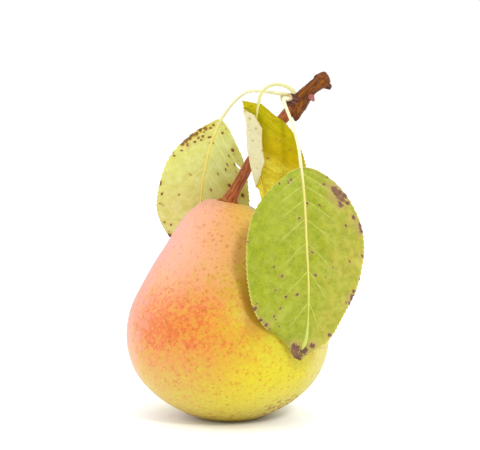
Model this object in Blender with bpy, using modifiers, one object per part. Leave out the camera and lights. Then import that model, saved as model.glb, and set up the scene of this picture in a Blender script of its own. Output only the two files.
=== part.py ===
# A ripe pear that stands on the rim of its calyx basin, with its stalk, the piece of
# woody spur that it grew on, and the three leaves of that spur.
# X runs to the right, Y away from the front and Z up, with the floor at Z = 0.
# Sizes are in millimetres up to the point where a mesh is made, which is in metres.

import math

import bmesh
import bpy
from mathutils import Matrix, Vector, noise

MM = 0.001

# Driving dimensions
FRUIT_RADIUS = 33.2
FRUIT_HEIGHT = 71.2
STALK_RADIUS = 1.55
PETIOLE_RADIUS = 0.52
BLADE_THICKNESS = 0.62
RIB_THICKNESS = 1.15
GAP = 0.3  # left between pieces that touch

SHARP_FROM = 50  # degrees between faces from which an edge is shaded sharp

# Where the fruit's axis stands, so that the origin is under the middle of the whole pear
AXIS_PLACE = (-4.9, -0.4, 0.0)

# The fruit's outline from the stalk's hollow down to the calyx basin, as shares of the
# radius and of the height
FRUIT_OUTLINE = (
    (0.0, 0.962), (0.075, 0.964), (0.122, 0.982), (0.185, 0.990), (0.262, 0.976),
    (0.375, 0.932), (0.487, 0.868), (0.605, 0.782), (0.737, 0.694), (0.872, 0.592),
    (0.962, 0.505), (1.0, 0.410), (0.991, 0.320), (0.940, 0.240), (0.845, 0.167),
    (0.705, 0.102), (0.545, 0.052), (0.400, 0.018), (0.290, 0.0), (0.187, 0.0),
    (0.148, 0.018), (0.078, 0.053), (0.0, 0.058),
)
FRUIT_STEPS = 44
FRUIT_LOBES = ((3, 0.010, 0.8), (5, 0.005, -0.4))  # waves round, share of radius, turn
LIP_RISE = 1.15  # how far the flesh rises left of the stalk and falls right of it
LIP_FRONT = 0.45  # how much more it rises in front than at the back
LIP_ALL = 0.35  # and all round
LIP_FROM = 0.86  # share of the height where that begins
LIP_RADII = (1.8, 4.5)  # the stalk's hollow stays level inside the first
BELLY_SHIFT = -0.6  # the belly hangs a little to the left of the base
BELLY_SPAN = (0.0, 0.4, 0.5, 0.7)  # shares of the height: from, full, until, gone
NECK_SHIFT = -1.3  # and so does the neck
NECK_SPAN = (0.5, 0.78, 0.90, 1.0)
BARK_LUMPS = 2.1  # size of the bark's lumps, with half as high ones of the next size
BARK_GRAIN = 0.9

# Routes of the round pieces: x, y, z and the radius there
STALK_ROUTE = (
    (0.5, 0.2, 69.2, 2.2), (0.5, 0.1, 70.3, 2.5), (0.7, 0.0, 71.6, 2.45),
    (1.3, -0.3, 73.0, 2.1), (2.3, -0.7, 75.0, 1.8), (4.5, -1.4, 79.1, 1.7),
    (7.7, -2.5, 85.0, STALK_RADIUS), (12.2, -3.9, 91.5, STALK_RADIUS),
    (16.6, -5.4, 97.0, 1.65), (20.9, -6.9, 101.7, 1.8),
)
SPUR_ROUTE = (
    (21.6, -7.4, 97.8, 0.4), (21.75, -7.4, 98.8, 1.1), (21.95, -7.4, 100.2, 1.75),
    (22.15, -7.4, 101.8, 2.45), (22.9, -7.6, 103.6, 2.65), (24.8, -8.4, 106.2, 2.35),
    (27.8, -9.4, 108.9, 2.1), (29.6, -10.1, 110.2, 2.3), (30.7, -10.5, 111.0, 2.3),
    (31.4, -10.8, 111.5, 1.7),
)
COLLAR_ROUTE = (
    (22.4, -7.8, 103.8, 1.9), (20.6, -8.4, 104.5, 1.75), (19.1, -8.9, 105.3, 1.55),
)
SCAR_ROUTES = (
    ((21.0, -8.9, 103.8, 1.0), (18.9, -9.8, 103.7, 0.75), (17.7, -10.2, 103.9, 0.3)),
    ((30.8, -9.6, 110.2, 1.2), (32.2, -9.5, 109.2, 0.9), (32.9, -9.5, 108.6, 0.3)),
    ((24.2, -6.6, 105.4, 1.2), (25.2, -4.9, 105.8, 0.9), (25.8, -4.2, 106.1, 0.3)),
)
BUD_PLACE = (26.9, -9.9, 104.8)
BUD_POINTS_TO = (0.55, -0.35, -0.75)
BUD_LENGTH = 3.4
BUD_RADIUS = 1.1
BUD_NARROWS = 0.55
SPUR_KNOBS = 0.28  # height of the bark's lumps
COLLAR_KNOBS = 0.12
SCAR_KNOBS = 0.08

BLUNT_END = 0.95  # half width of a blade where its outline starts and ends
TOOTH_HEIGHT = 0.42
TOOTH_NOTCH = -0.08
TEETH = 22
COLUMNS = 5  # from the midrib to the edge
ROWS_PER_VEIN = 5
VEIN_RISE = 0.42  # of the midrib's, falling to half at the edge
VEIN_BEND = 1.2
VEIN_START_BACK = 0.15  # side veins leave the midrib this far behind their row
VEIN_END_AHEAD = 0.11  # and reach the edge this far ahead of it
RIB_TAPER = 0.75
RIB_SPAN = (-0.02, 0.04, 0.85, 1.0)  # shares of the rows: from, full, until, gone
CURL_FADES = (0.86, 0.99)  # shares of the length where the curl of an edge goes
OTHER_SIDE = 1.7  # turn between the waves of a blade's two edges
SLICES = 16  # steps that a cross-section is bent in

# Each leaf: the midrib from the base to the tip, the way its upper face looks at the
# base and at the tip, the edge left and right of it as shares of the length with the
# half width there, how far each half folds up from the midrib and curls at its edge,
# in degrees, where across the half that curl begins and ends at shares of the length,
# and its petiole
LEAVES = {
    "front": {
        "midrib": (
            (23.0, -22.5, 83.6), (23.9, -25.6, 73.8), (24.5, -29.0, 60.1),
            (25.1, -31.2, 46.3), (24.5, -31.0, 31.9), (21.7, -28.0, 24.1),
        ),
        "faces": ((0.10, -1.0, 0.30), (0.05, -1.0, -0.05)),
        "edges": (
            ((0.0, BLUNT_END), (0.02, 3.8), (0.07, 8.3), (0.15, 13.4), (0.25, 16.9),
             (0.40, 19.1), (0.58, 19.1), (0.73, 17.2), (0.855, 12.3), (0.94, 5.6),
             (1.0, BLUNT_END)),
            ((0.0, BLUNT_END), (0.02, 4.6), (0.075, 9.3), (0.16, 13.8), (0.27, 17.1),
             (0.39, 18.5), (0.50, 17.8), (0.62, 15.3), (0.75, 11.4), (0.86, 7.7),
             (0.93, 2.9), (1.0, BLUNT_END)),
        ),
        "fold": (6, 5),
        "curl": (-14, -22),
        "curl_spans": ((0.0, 0.2, 1.0), (1.0, 0.2, 1.0)),
        "curl_along": (0.0, 0.3),
        "wave": (0.7, 3.0, 0.4),
        "petiole": (
            (19.0, -10.2, 104.9, 0.75), (17.6, -11.2, 104.7, 0.7), (18.3, -12.9, 102.4, 0.56),
            (20.4, -17.0, 96.8, PETIOLE_RADIUS), (22.1, -20.2, 90.2, PETIOLE_RADIUS),
            (22.92, -22.2, 84.15, 0.56),
        ),
        "colour": (0.40, 0.44, 0.06, 1.0),
    },
    "left": {
        "midrib": (
            (-2.6, 8.6, 97.2), (-5.9, 11.8, 88.8), (-8.4, 16.0, 77.8),
            (-9.6, 21.0, 67.8), (-11.2, 27.6, 54.8), (-13.9, 34.2, 42.2),
        ),
        "faces": ((0.0, -1.0, 0.25), (-0.12, -1.0, 0.30)),
        "edges": (
            ((0.0, BLUNT_END), (0.03, 2.6), (0.16, 8.8), (0.26, 12.3), (0.37, 14.1),
             (0.50, 14.9), (0.60, 14.2), (0.72, 11.4), (0.86, 6.2), (1.0, BLUNT_END)),
            ((0.0, BLUNT_END), (0.03, 4.6), (0.10, 9.4), (0.18, 12.4), (0.27, 14.6),
             (0.38, 16.3), (0.50, 16.9), (0.62, 15.6), (0.76, 11.6), (0.90, 5.2),
             (1.0, BLUNT_END)),
        ),
        "fold": (14, 12),
        "curl": (-10, -16),
        "curl_spans": ((0.0, 0.2, 1.0), (1.0, 0.2, 1.0)),
        "curl_along": (0.0, 0.3),
        "wave": (0.5, 2.0, 1.2),
        "petiole": (
            (19.2, -8.2, 105.9, 0.75), (17.3, -8.1, 106.3, 0.65), (13.6, -6.4, 106.7, 0.56),
            (9.6, -3.2, 107.1, PETIOLE_RADIUS), (5.6, 1.2, 106.4, PETIOLE_RADIUS),
            (1.4, 5.2, 102.8, PETIOLE_RADIUS), (-2.35, 8.35, 97.7, 0.56),
        ),
        "colour": (0.56, 0.53, 0.16, 1.0),
    },
    "middle": {
        "midrib": (
            (9.7, -9.4, 103.2), (8.9, -10.0, 98.8), (8.7, -10.2, 91.6),
            (10.0, -10.3, 82.8), (13.0, -11.0, 72.8), (18.6, -13.2, 59.6),
        ),
        "faces": ((-0.05, -1.0, 0.20), (-0.10, -1.0, 0.05)),
        "edges": (
            ((0.0, 4.6), (0.08, 4.7), (0.17, 7.8), (0.26, 10.2), (0.42, 10.8),
             (0.58, 10.0), (0.76, 7.0), (0.90, 3.4), (1.0, BLUNT_END)),
            ((0.0, BLUNT_END), (0.05, 5.2), (0.14, 10.4), (0.24, 13.0), (0.36, 14.2),
             (0.46, 14.7), (0.58, 14.2), (0.75, 10.6), (0.90, 4.8), (1.0, BLUNT_END)),
        ),
        "fold": (0, 6),
        "curl": (160, -8),
        "curl_spans": ((0.0, 0.30, 0.64), (0.16, 0.20, 0.54), (0.30, 0.16, 0.50), (1.0, 0.16, 0.50)),
        "curl_along": (0.04, 0.17),
        "wave": (0.6, 2.0, 2.0),
        "petiole": (
            (21.1, -8.5, 105.9, 0.85), (20.4, -8.9, 107.5, 0.7), (18.3, -9.2, 108.8, 0.56),
            (15.2, -9.4, 109.4, PETIOLE_RADIUS), (12.0, -9.4, 108.2, PETIOLE_RADIUS),
            (10.2, -9.4, 105.8, PETIOLE_RADIUS), (9.75, -9.4, 103.75, 0.56),
        ),
        "colour": (0.50, 0.38, 0.03, 1.0),
    },
}

SEPALS = 5
SEPAL_LENGTH = 3.0
SEPAL_WIDTH = 1.5
SEPAL_THICKNESS = 0.55
SEPAL_DROOP = 38  # degrees below level
SEPAL_POINT = 0.12  # radius of its end
SEPAL_ROOT = 0.75  # how far out and down from the cup's top it starts
CALYX_CUP_RADIUS = 1.35
CALYX_CUP_TAPER = 0.75
CALYX_CUP_HEIGHT = 1.3
CALYX_TOP = 3.75
CALYX_TURN = 0.3  # of a sepal's place

COLOURS = {
    "fruit": (0.86, 0.50, 0.14, 1.0),
    "stalk": (0.24, 0.075, 0.022, 1.0),
    "spur": (0.30, 0.115, 0.035, 1.0),
    "bud": (0.30, 0.10, 0.07, 1.0),
    "calyx": (0.07, 0.035, 0.018, 1.0),
    "petiole": (0.72, 0.66, 0.25, 1.0),
}


def clear_scene():
    for thing in list(bpy.data.objects):
        bpy.data.objects.remove(thing, do_unlink=True)


def new_collection(name):
    made = bpy.data.collections.new(name)
    bpy.context.scene.collection.children.link(made)
    return made


def matt(name, colour, roughness):
    made = bpy.data.materials.new(name)
    made.use_nodes = True
    shader = made.node_tree.nodes["Principled BSDF"]
    shader.inputs["Base Color"].default_value = colour
    shader.inputs["Roughness"].default_value = roughness
    shader.inputs["Metallic"].default_value = 0.0
    made.diffuse_color = colour
    return made


def mix(a, b, share):
    return a + (b - a) * share


def ramp(low, high, value):
    # 0 below low, 1 above high and smooth between
    share = min(1.0, max(0.0, (value - low) / (high - low)))
    return share * share * (3 - 2 * share)


def values_at(stops, share):
    # Straight between stops that each hold a share and its values
    for (start, *values), (end, *next_values) in zip(stops, stops[1:]):
        if share <= end:
            part = (share - start) / (end - start)
            return [mix(a, b, part) for a, b in zip(values, next_values)]
    return stops[-1][1:]


def hill(span, value):
    # 0 before and after the span, 1 on its middle stretch
    begin, full, until, gone = span
    return ramp(begin, full, value) * (1 - ramp(until, gone, value))


def shade(mesh):
    mesh.shade_smooth()
    mesh.set_sharp_from_angle(angle=math.radians(SHARP_FROM))


def smooth(points, per_span):
    # Points along the Catmull-Rom curve through the given points, of any dimension
    ends = [
        tuple(2 * a - b for a, b in zip(points[0], points[1])),
        tuple(2 * a - b for a, b in zip(points[-1], points[-2])),
    ]
    padded = [ends[0], *points, ends[1]]
    made = []
    for span in range(len(points) - 1):
        before, start, end, after = padded[span:span + 4]
        for step in range(per_span):
            t = step / per_span
            made.append(tuple(
                0.5 * (2 * b + (c - a) * t + (2 * a - 5 * b + 4 * c - d) * t ** 2
                       + (3 * b - a - 3 * c + d) * t ** 3)
                for a, b, c, d in zip(before, start, end, after)
            ))
    made.append(tuple(points[-1]))
    return made


def object_from_mesh(name, mesh, material, home):
    made = bpy.data.objects.new(name, mesh)
    mesh.materials.clear()
    if material:
        mesh.materials.append(material)
    home.objects.link(made)
    return made


def plain_mesh(thing):
    # The object's shape with its modifiers or bevel applied, welded where caps meet
    graph = bpy.context.evaluated_depsgraph_get()
    mesh = bpy.data.meshes.new_from_object(thing.evaluated_get(graph))
    work = bmesh.new()
    work.from_mesh(mesh)
    bmesh.ops.remove_doubles(work, verts=work.verts, dist=1e-6)
    bmesh.ops.recalc_face_normals(work, faces=work.faces)
    work.to_mesh(mesh)
    work.free()
    return mesh


def limb(name, route, per_span, material, home, grow=0.0, knobs=0.0, resolution=3):
    # A round piece along a route, its radius changing from point to point
    curve = bpy.data.curves.new(name, "CURVE")
    curve.dimensions = "3D"
    curve.bevel_depth = MM
    curve.bevel_resolution = resolution
    curve.use_fill_caps = True
    points = smooth(route, per_span)
    spline = curve.splines.new("POLY")
    spline.points.add(len(points) - 1)
    for point, (x, y, z, radius) in zip(spline.points, points):
        point.co = (x * MM, y * MM, z * MM, 1.0)
        point.radius = radius + grow
    drawn = bpy.data.objects.new(name + "_line", curve)
    bpy.context.scene.collection.objects.link(drawn)
    bpy.context.view_layer.update()
    mesh = plain_mesh(drawn)
    bpy.data.objects.remove(drawn, do_unlink=True)
    if knobs:
        normals = [vertex.normal.copy() for vertex in mesh.vertices]
        for vertex, normal in zip(mesh.vertices, normals):
            lump = noise.noise(vertex.co / (BARK_LUMPS * MM))
            lump += 0.5 * noise.noise(vertex.co / (BARK_GRAIN * MM))
            vertex.co += normal * lump * knobs * MM
    shade(mesh)
    return object_from_mesh(name, mesh, material, home)


def join(name, pieces, material, home):
    # One body made of pieces that run into each other
    first, others = pieces[0], pieces[1:]
    gathered = new_collection(name + "_pieces")
    for piece in others:
        for owner in list(piece.users_collection):
            owner.objects.unlink(piece)
        gathered.objects.link(piece)
    union = first.modifiers.new("union", "BOOLEAN")
    union.operation = "UNION"
    union.operand_type = "COLLECTION"
    union.collection = gathered
    union.solver = "EXACT"
    bpy.context.view_layer.update()
    mesh = plain_mesh(first)
    for piece in pieces:
        bpy.data.objects.remove(piece, do_unlink=True)
    bpy.data.collections.remove(gathered)
    shade(mesh)
    return object_from_mesh(name, mesh, material, home)


def cut_clear(piece, cutter):
    cut = piece.modifiers.new("clear of the spur", "BOOLEAN")
    cut.operation = "DIFFERENCE"
    cut.object = cutter
    cut.solver = "EXACT"


def shape_fruit(point):
    # The turned pear made uneven: soft lobes, a belly off the axis and a fleshy lip
    height = point.z / (FRUIT_HEIGHT * MM)
    angle = math.atan2(point.y, point.x)
    belly = math.sin(math.pi * min(1.0, max(0.0, height))) ** 0.7
    lobes = 1 + belly * sum(
        share * math.cos(waves * angle + turn) for waves, share, turn in FRUIT_LOBES
    )
    radius = math.hypot(point.x, point.y)
    inner, outer = LIP_RADII
    lip = ramp(LIP_FROM, 1.0, height) * ramp(inner * MM, outer * MM, radius)
    lip *= LIP_ALL + LIP_RISE * math.cos(angle - math.pi) - LIP_FRONT * math.sin(angle)
    shift = BELLY_SHIFT * hill(BELLY_SPAN, height) + NECK_SHIFT * hill(NECK_SPAN, height)
    return Vector((
        point.x * lobes + shift * MM,
        point.y * lobes,
        point.z + MM * lip,
    ))


def make_fruit(home):
    outline = smooth(FRUIT_OUTLINE, 2)
    mesh = bpy.data.meshes.new("fruit_outline")
    points = [
        (max(0.0, share) * FRUIT_RADIUS * MM, 0.0, max(0.0, height) * FRUIT_HEIGHT * MM)
        for share, height in outline
    ]
    mesh.from_pydata(points, [(i, i + 1) for i in range(len(points) - 1)], [])
    turned = bpy.data.objects.new("fruit_turned", mesh)
    bpy.context.scene.collection.objects.link(turned)
    screw = turned.modifiers.new("turn", "SCREW")
    screw.axis = "Z"
    screw.steps = FRUIT_STEPS
    screw.render_steps = FRUIT_STEPS
    screw.use_merge_vertices = True
    screw.merge_threshold = 1e-5
    bpy.context.view_layer.update()
    fruit = plain_mesh(turned)
    bpy.data.objects.remove(turned, do_unlink=True)
    for vertex in fruit.vertices:
        vertex.co = shape_fruit(vertex.co)
    shade(fruit)
    return object_from_mesh("fruit", fruit, matt("pear_skin", COLOURS["fruit"], 0.45), home)


def make_calyx(home):
    # Five dried sepals round a small cup, up inside the basin of the fruit
    brown = matt("dry_calyx", COLOURS["calyx"], 0.9)
    pieces = []
    cup = bmesh.new()
    bmesh.ops.create_cone(
        cup, cap_ends=True, segments=20, radius1=CALYX_CUP_RADIUS * CALYX_CUP_TAPER * MM,
        radius2=CALYX_CUP_RADIUS * MM, depth=CALYX_CUP_HEIGHT * MM,
        matrix=Matrix.Translation((0, 0, (CALYX_TOP - CALYX_CUP_HEIGHT / 2) * MM)),
    )
    mesh = bpy.data.meshes.new("calyx_cup")
    cup.to_mesh(mesh)
    cup.free()
    pieces.append(object_from_mesh("calyx_cup", mesh, brown, home))
    for index in range(SEPALS):
        sepal = bmesh.new()
        bmesh.ops.create_cone(
            sepal, cap_ends=True, segments=10, radius1=SEPAL_WIDTH / 2 * MM,
            radius2=SEPAL_POINT * MM, depth=SEPAL_LENGTH * MM,
            matrix=Matrix.Translation((0, 0, SEPAL_LENGTH / 2 * MM)),
        )
        flat = Matrix.Diagonal((1.0, SEPAL_THICKNESS / SEPAL_WIDTH, 1.0, 1.0))
        outwards = Matrix.Rotation(math.radians(90 + SEPAL_DROOP), 4, "X")
        around = Matrix.Rotation(2 * math.pi * (index + CALYX_TURN) / SEPALS, 4, "Z")
        root = Matrix.Translation((0, -SEPAL_ROOT * MM, (CALYX_TOP - SEPAL_ROOT) * MM))
        sepal.transform(around @ root @ outwards @ flat)
        mesh = bpy.data.meshes.new("sepal")
        sepal.to_mesh(mesh)
        sepal.free()
        pieces.append(object_from_mesh("sepal", mesh, brown, home))
    return join("calyx", pieces, brown, home)


def spur_pieces(name, material, home, grow, scars):
    # The stem, its collar and scars, or the same swollen by grow
    pieces = [limb(name + "_stem", SPUR_ROUTE, 3, material, home, grow, SPUR_KNOBS, 4)]
    pieces.append(limb(name + "_collar", COLLAR_ROUTE, 2, material, home, grow, COLLAR_KNOBS))
    for route in scars:
        pieces.append(limb(name + "_scar", route, 2, material, home, grow, SCAR_KNOBS, 1))
    return pieces


def make_spur(home, cutters):
    bark = matt("spur_bark", COLOURS["spur"], 0.85)
    spur = join("spur", spur_pieces("spur", bark, home, 0.0, SCAR_ROUTES), bark, home)
    swollen = spur_pieces("clear", None, cutters, GAP, SCAR_ROUTES[:1])
    clearance = join("spur_clearance", swollen, None, cutters)
    clearance.hide_render = True
    clearance.display_type = "WIRE"
    return spur, clearance


def make_bud(home):
    # A small resting bud on the underside of the spur, a gap clear of its bark
    bud = bmesh.new()
    bmesh.ops.create_uvsphere(bud, u_segments=10, v_segments=7, radius=BUD_RADIUS * MM)
    for vertex in bud.verts:
        along = vertex.co.z / (BUD_RADIUS * MM)
        vertex.co.z *= BUD_LENGTH / (2 * BUD_RADIUS)
        narrow = 1 - BUD_NARROWS * max(0.0, along) ** 1.5
        vertex.co.x *= narrow
        vertex.co.y *= narrow
    turn = Vector(BUD_POINTS_TO).to_track_quat("Z", "Y").to_matrix().to_4x4()
    bud.transform(Matrix.Translation(Vector(BUD_PLACE) * MM) @ turn)
    mesh = bpy.data.meshes.new("bud")
    bud.to_mesh(mesh)
    bud.free()
    mesh.shade_smooth()
    return object_from_mesh("bud", mesh, matt("bud_scales", COLOURS["bud"], 0.7), home)


class Blade:
    # The surface of one leaf, bent from its flat outline to the way it hangs

    def __init__(self, form):
        self.form = form
        self.line = [Vector(point) for point in smooth(form["midrib"], 12)]
        self.runs = [0.0]
        for start, end in zip(self.line, self.line[1:]):
            self.runs.append(self.runs[-1] + (end - start).length)
        self.length = self.runs[-1]
        self.edges = [smooth(edge, 8) for edge in form["edges"]]

    def frame(self, share):
        # Place, way across and way out of the upper face at this share of the midrib
        run = share * self.length
        index = max(i for i, reached in enumerate(self.runs[:-1]) if reached <= max(0.0, run))
        start, end = self.line[index], self.line[index + 1]
        part = (run - self.runs[index]) / (self.runs[index + 1] - self.runs[index])
        ahead = (end - start).normalized()
        first, last = (Vector(way).normalized() for way in self.form["faces"])
        across = first.lerp(last, min(1.0, max(0.0, share))).cross(ahead).normalized()
        return start.lerp(end, part), across, ahead.cross(across).normalized()

    def point(self, row, out, side, tooth):
        # row runs from the base to the tip, out from the midrib to the edge
        hump = math.sin(math.pi * row)
        root = row - VEIN_START_BACK * hump
        edge = mix(self.edges[side][0][0], 1.0, row + VEIN_END_AHEAD * hump)
        share = mix(root, edge, out ** VEIN_BEND)
        wide = values_at(self.edges[side], edge)[0] + tooth
        place, across, face = self.frame(share)
        fold = math.radians(self.form["fold"][side])
        curl = math.radians(self.form["curl"][side])
        curl *= hill((*self.form["curl_along"], *CURL_FADES), share)
        begin, end = values_at(self.form["curl_spans"], edge)
        level = rise = 0.0
        for step in range(SLICES):
            middle = out * (step + 0.5) / SLICES
            angle = fold + curl * min(1.0, max(0.0, (middle - begin) / (end - begin)))
            level += math.cos(angle) * wide * out / SLICES
            rise += math.sin(angle) * wide * out / SLICES
        high, waves, turn = self.form["wave"]
        wave = math.sin(2 * math.pi * waves * share + turn + side * OTHER_SIDE)
        rise += high * out ** 2 * wave
        sideways = across * level * (1 if side else -1)
        return (place + sideways + face * rise) * MM


def make_blade(name, form, home):
    blade = Blade(form)
    rows = 2 * TEETH
    grid = bmesh.new()
    raised = grid.verts.layers.float.new("raised")
    lines = []
    for index in range(rows + 1):
        row = index / rows
        line = []
        for column in range(-COLUMNS, COLUMNS + 1):
            side = 1 if column > 0 else 0
            out = abs(column) / COLUMNS
            at_edge = abs(column) == COLUMNS and 0 < index < rows
            tooth = 0.0
            if at_edge:
                tooth = TOOTH_HEIGHT if index % 2 else TOOTH_NOTCH
            vertex = grid.verts.new(blade.point(row, out, side, tooth))
            if column == 0:
                vertex[raised] = (1 - RIB_TAPER * row) * hill(RIB_SPAN, row)
            elif index % ROWS_PER_VEIN == 0 and abs(column) < COLUMNS:
                vertex[raised] = VEIN_RISE * (1 - 0.5 * out)
            line.append(vertex)
        lines.append(line)
    for low, high in zip(lines, lines[1:]):
        for column in range(2 * COLUMNS):
            grid.faces.new((low[column], low[column + 1], high[column + 1], high[column]))
    bmesh.ops.remove_doubles(grid, verts=grid.verts, dist=1e-6)
    bmesh.ops.triangulate(grid, faces=grid.faces)
    bmesh.ops.recalc_face_normals(grid, faces=grid.faces)
    mesh = bpy.data.meshes.new(name)
    weights = [vertex[raised] for vertex in grid.verts]
    grid.to_mesh(mesh)
    grid.free()
    mesh.shade_smooth()
    made = object_from_mesh(name, mesh, matt(name, form["colour"], 0.6), home)
    veins = made.vertex_groups.new(name="veins")
    for index, weight in enumerate(weights):
        veins.add([index], weight, "REPLACE")
    solid = made.modifiers.new("thickness", "SOLIDIFY")
    solid.thickness = RIB_THICKNESS * MM
    solid.offset = 0.0
    solid.vertex_group = "veins"
    solid.thickness_vertex_group = BLADE_THICKNESS / RIB_THICKNESS
    return made


def main():
    clear_scene()
    pear = new_collection("pear")
    cutters = new_collection("cutters")
    cutters.hide_render = True
    fruit = make_fruit(pear)
    calyx = make_calyx(pear)
    spur, clearance = make_spur(pear, cutters)
    bud = make_bud(pear)
    cut_clear(bud, clearance)
    stalk = limb("stalk", STALK_ROUTE, 3, matt("stalk_bark", COLOURS["stalk"], 0.6), pear)
    cut_clear(stalk, clearance)
    pieces = [fruit, calyx, spur, bud, stalk]
    pale = matt("petiole_skin", COLOURS["petiole"], 0.5)
    for place, form in LEAVES.items():
        pieces.append(make_blade("leaf_" + place, form, pear))
        petiole = limb("petiole_" + place, form["petiole"], 4, pale, pear, resolution=2)
        cut_clear(petiole, clearance)
        pieces.append(petiole)

    axis = bpy.data.objects.new("fruit_axis", None)
    pear.objects.link(axis)
    axis.location = Vector(AXIS_PLACE) * MM
    for piece in [*pieces, clearance]:
        piece.parent = axis


main()
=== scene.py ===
# The looks of a ripe pear that stands upright, with its stalk, a piece of woody spur and
# three leaves. Sizes in the settings are millimetres, counted from the fruit's own axis.

import math
import random

import bmesh
import bpy
from mathutils import Matrix, Vector, noise


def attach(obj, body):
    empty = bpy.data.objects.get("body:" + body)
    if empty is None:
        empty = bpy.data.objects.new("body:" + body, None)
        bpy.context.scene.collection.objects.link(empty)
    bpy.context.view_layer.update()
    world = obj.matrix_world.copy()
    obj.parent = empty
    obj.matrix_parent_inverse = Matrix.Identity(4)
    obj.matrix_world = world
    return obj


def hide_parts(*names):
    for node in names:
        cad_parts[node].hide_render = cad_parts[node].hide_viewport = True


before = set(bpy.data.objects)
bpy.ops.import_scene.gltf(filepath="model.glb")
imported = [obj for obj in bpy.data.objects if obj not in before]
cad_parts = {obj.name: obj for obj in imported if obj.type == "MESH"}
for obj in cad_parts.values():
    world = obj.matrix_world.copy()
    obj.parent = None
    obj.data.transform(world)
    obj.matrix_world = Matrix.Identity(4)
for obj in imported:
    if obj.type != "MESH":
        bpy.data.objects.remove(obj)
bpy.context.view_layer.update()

mm = 0.001
axisPlace = Vector((-4.9, -0.4, 0.0))  # where the fruit's axis stands in the frame


# Small helpers

def mixed(a, b, share):
    return a + (b - a) * share


def ease(low, high, value):
    share = min(1.0, max(0.0, (value - low) / (high - low)))
    return share * share * (3 - 2 * share)


def hill(span, value):  # 0 outside the span, 1 on its middle stretch
    begin, full, until, gone = span
    return ease(begin, full, value) * (1 - ease(until, gone, value))


def smoothLine(points, perSpan):  # the curve through the points, whatever they hold
    first = tuple(2 * a - b for a, b in zip(points[0], points[1]))
    last = tuple(2 * a - b for a, b in zip(points[-1], points[-2]))
    padded = [first, *points, last]
    made = []
    for span in range(len(points) - 1):
        p0, p1, p2, p3 = padded[span:span + 4]
        for step in range(perSpan):
            t = step / perSpan
            made.append(tuple(
                0.5 * (2 * b + (c - a) * t + (2 * a - 5 * b + 4 * c - d) * t * t
                       + (3 * b - a - 3 * c + d) * t ** 3)
                for a, b, c, d in zip(p0, p1, p2, p3)
            ))
    made.append(tuple(points[-1]))
    return made


def valuesAt(stops, share):  # straight between stops of a share and its values
    for (start, *values), (end, *nextValues) in zip(stops, stops[1:]):
        if share <= end:
            part = (share - start) / (end - start)
            return [mixed(a, b, part) for a, b in zip(values, nextValues)]
    return stops[-1][1:]


def tint(red, green, blue):  # a screen colour as the shaders want it
    def linear(part):
        part /= 255
        return part / 12.92 if part <= 0.04045 else ((part + 0.055) / 1.055) ** 2.4
    return (linear(red), linear(green), linear(blue), 1.0)


def newPiece(name, mesh, sharpFrom=50):
    work = bmesh.new()
    work.from_mesh(mesh)
    bmesh.ops.remove_doubles(work, verts=work.verts, dist=1e-7)
    bmesh.ops.recalc_face_normals(work, faces=work.faces)
    work.to_mesh(mesh)
    work.free()
    mesh.shade_smooth()
    mesh.set_sharp_from_angle(angle=math.radians(sharpFrom))
    piece = bpy.data.objects.new(name, mesh)
    bpy.context.scene.collection.objects.link(piece)
    return piece


def settle(piece, node):  # every piece stands for a node
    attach(piece, "root")
    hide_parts(node)


# Node helpers, for shaders and geometry alike

class Signal:
    # A node's output, reckoned with like a number

    def __init__(self, socket):
        self.socket = socket
        self.tree = socket.id_data

    def __add__(self, other):
        return calc("ADD", self, other)

    def __sub__(self, other):
        return calc("SUBTRACT", self, other)

    def __rsub__(self, other):
        return calc("SUBTRACT", other, self)

    def __mul__(self, other):
        return calc("MULTIPLY", self, other)

    def __truediv__(self, other):
        return calc("DIVIDE", self, other)

    def __rtruediv__(self, other):
        return calc("DIVIDE", other, self)

    __radd__ = __add__
    __rmul__ = __mul__

    def beside(self, output):  # another output of the same node
        return Signal(self.socket.node.outputs[output])


def treeOf(*values):
    return next(value.tree for value in values if isinstance(value, Signal))


def plug(socket, value):
    if isinstance(value, Signal):
        socket.id_data.links.new(value.socket, socket)
    else:
        socket.default_value = value


def addNode(tree, kind, inputs=None, output=0, **settings):
    node = tree.nodes.new(kind)
    for name, value in settings.items():
        setattr(node, name, value)
    for key, value in (inputs or {}).items():
        plug(node.inputs[key], value)
    return Signal(node.outputs[output])


def calc(operation, *values):
    return addNode(treeOf(*values), "ShaderNodeMath", dict(enumerate(values)),
                   operation=operation)


def larger(a, b):
    return calc("MAXIMUM", a, b)


def vectorCalc(operation, *values):
    output = "Value" if operation in ("DOT_PRODUCT", "LENGTH") else "Vector"
    return addNode(treeOf(*values), "ShaderNodeVectorMath", dict(enumerate(values)), output,
                   operation=operation)


def scaled(vector, factor):
    return addNode(treeOf(vector, factor), "ShaderNodeVectorMath",
                   {0: vector, "Scale": factor}, operation="SCALE")


def combine(x, y, z):
    return addNode(treeOf(x, y, z), "ShaderNodeCombineXYZ", {"X": x, "Y": y, "Z": z})


def split(vector):
    x = addNode(vector.tree, "ShaderNodeSeparateXYZ", {"Vector": vector})
    return x, x.beside("Y"), x.beside("Z")


def eased(value, low, high, toLow=0.0, toHigh=1.0):
    return addNode(value.tree, "ShaderNodeMapRange", {
        "Value": value, "From Min": low, "From Max": high, "To Min": toLow, "To Max": toHigh,
    }, "Result", interpolation_type="SMOOTHSTEP")


def hillNode(value, span):
    begin, full, until, gone = span
    return eased(value, begin, full) * eased(value, until, gone, 1.0, 0.0)


def noiseNode(vector, scale, detail=2.0, roughness=0.5):
    return addNode(vector.tree, "ShaderNodeTexNoise", {
        "Vector": vector, "Scale": scale, "Detail": detail, "Roughness": roughness}, "Fac")


def named(tree, name, kind="FLOAT"):
    return addNode(tree, "GeometryNodeInputNamedAttribute", {"Name": name}, "Attribute",
                   data_type=kind)


def store(geometry, name, value, kind="FLOAT"):
    return addNode(geometry.tree, "GeometryNodeStoreNamedAttribute", {
        "Geometry": geometry, "Name": name, "Value": value}, data_type=kind, domain="POINT")


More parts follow.
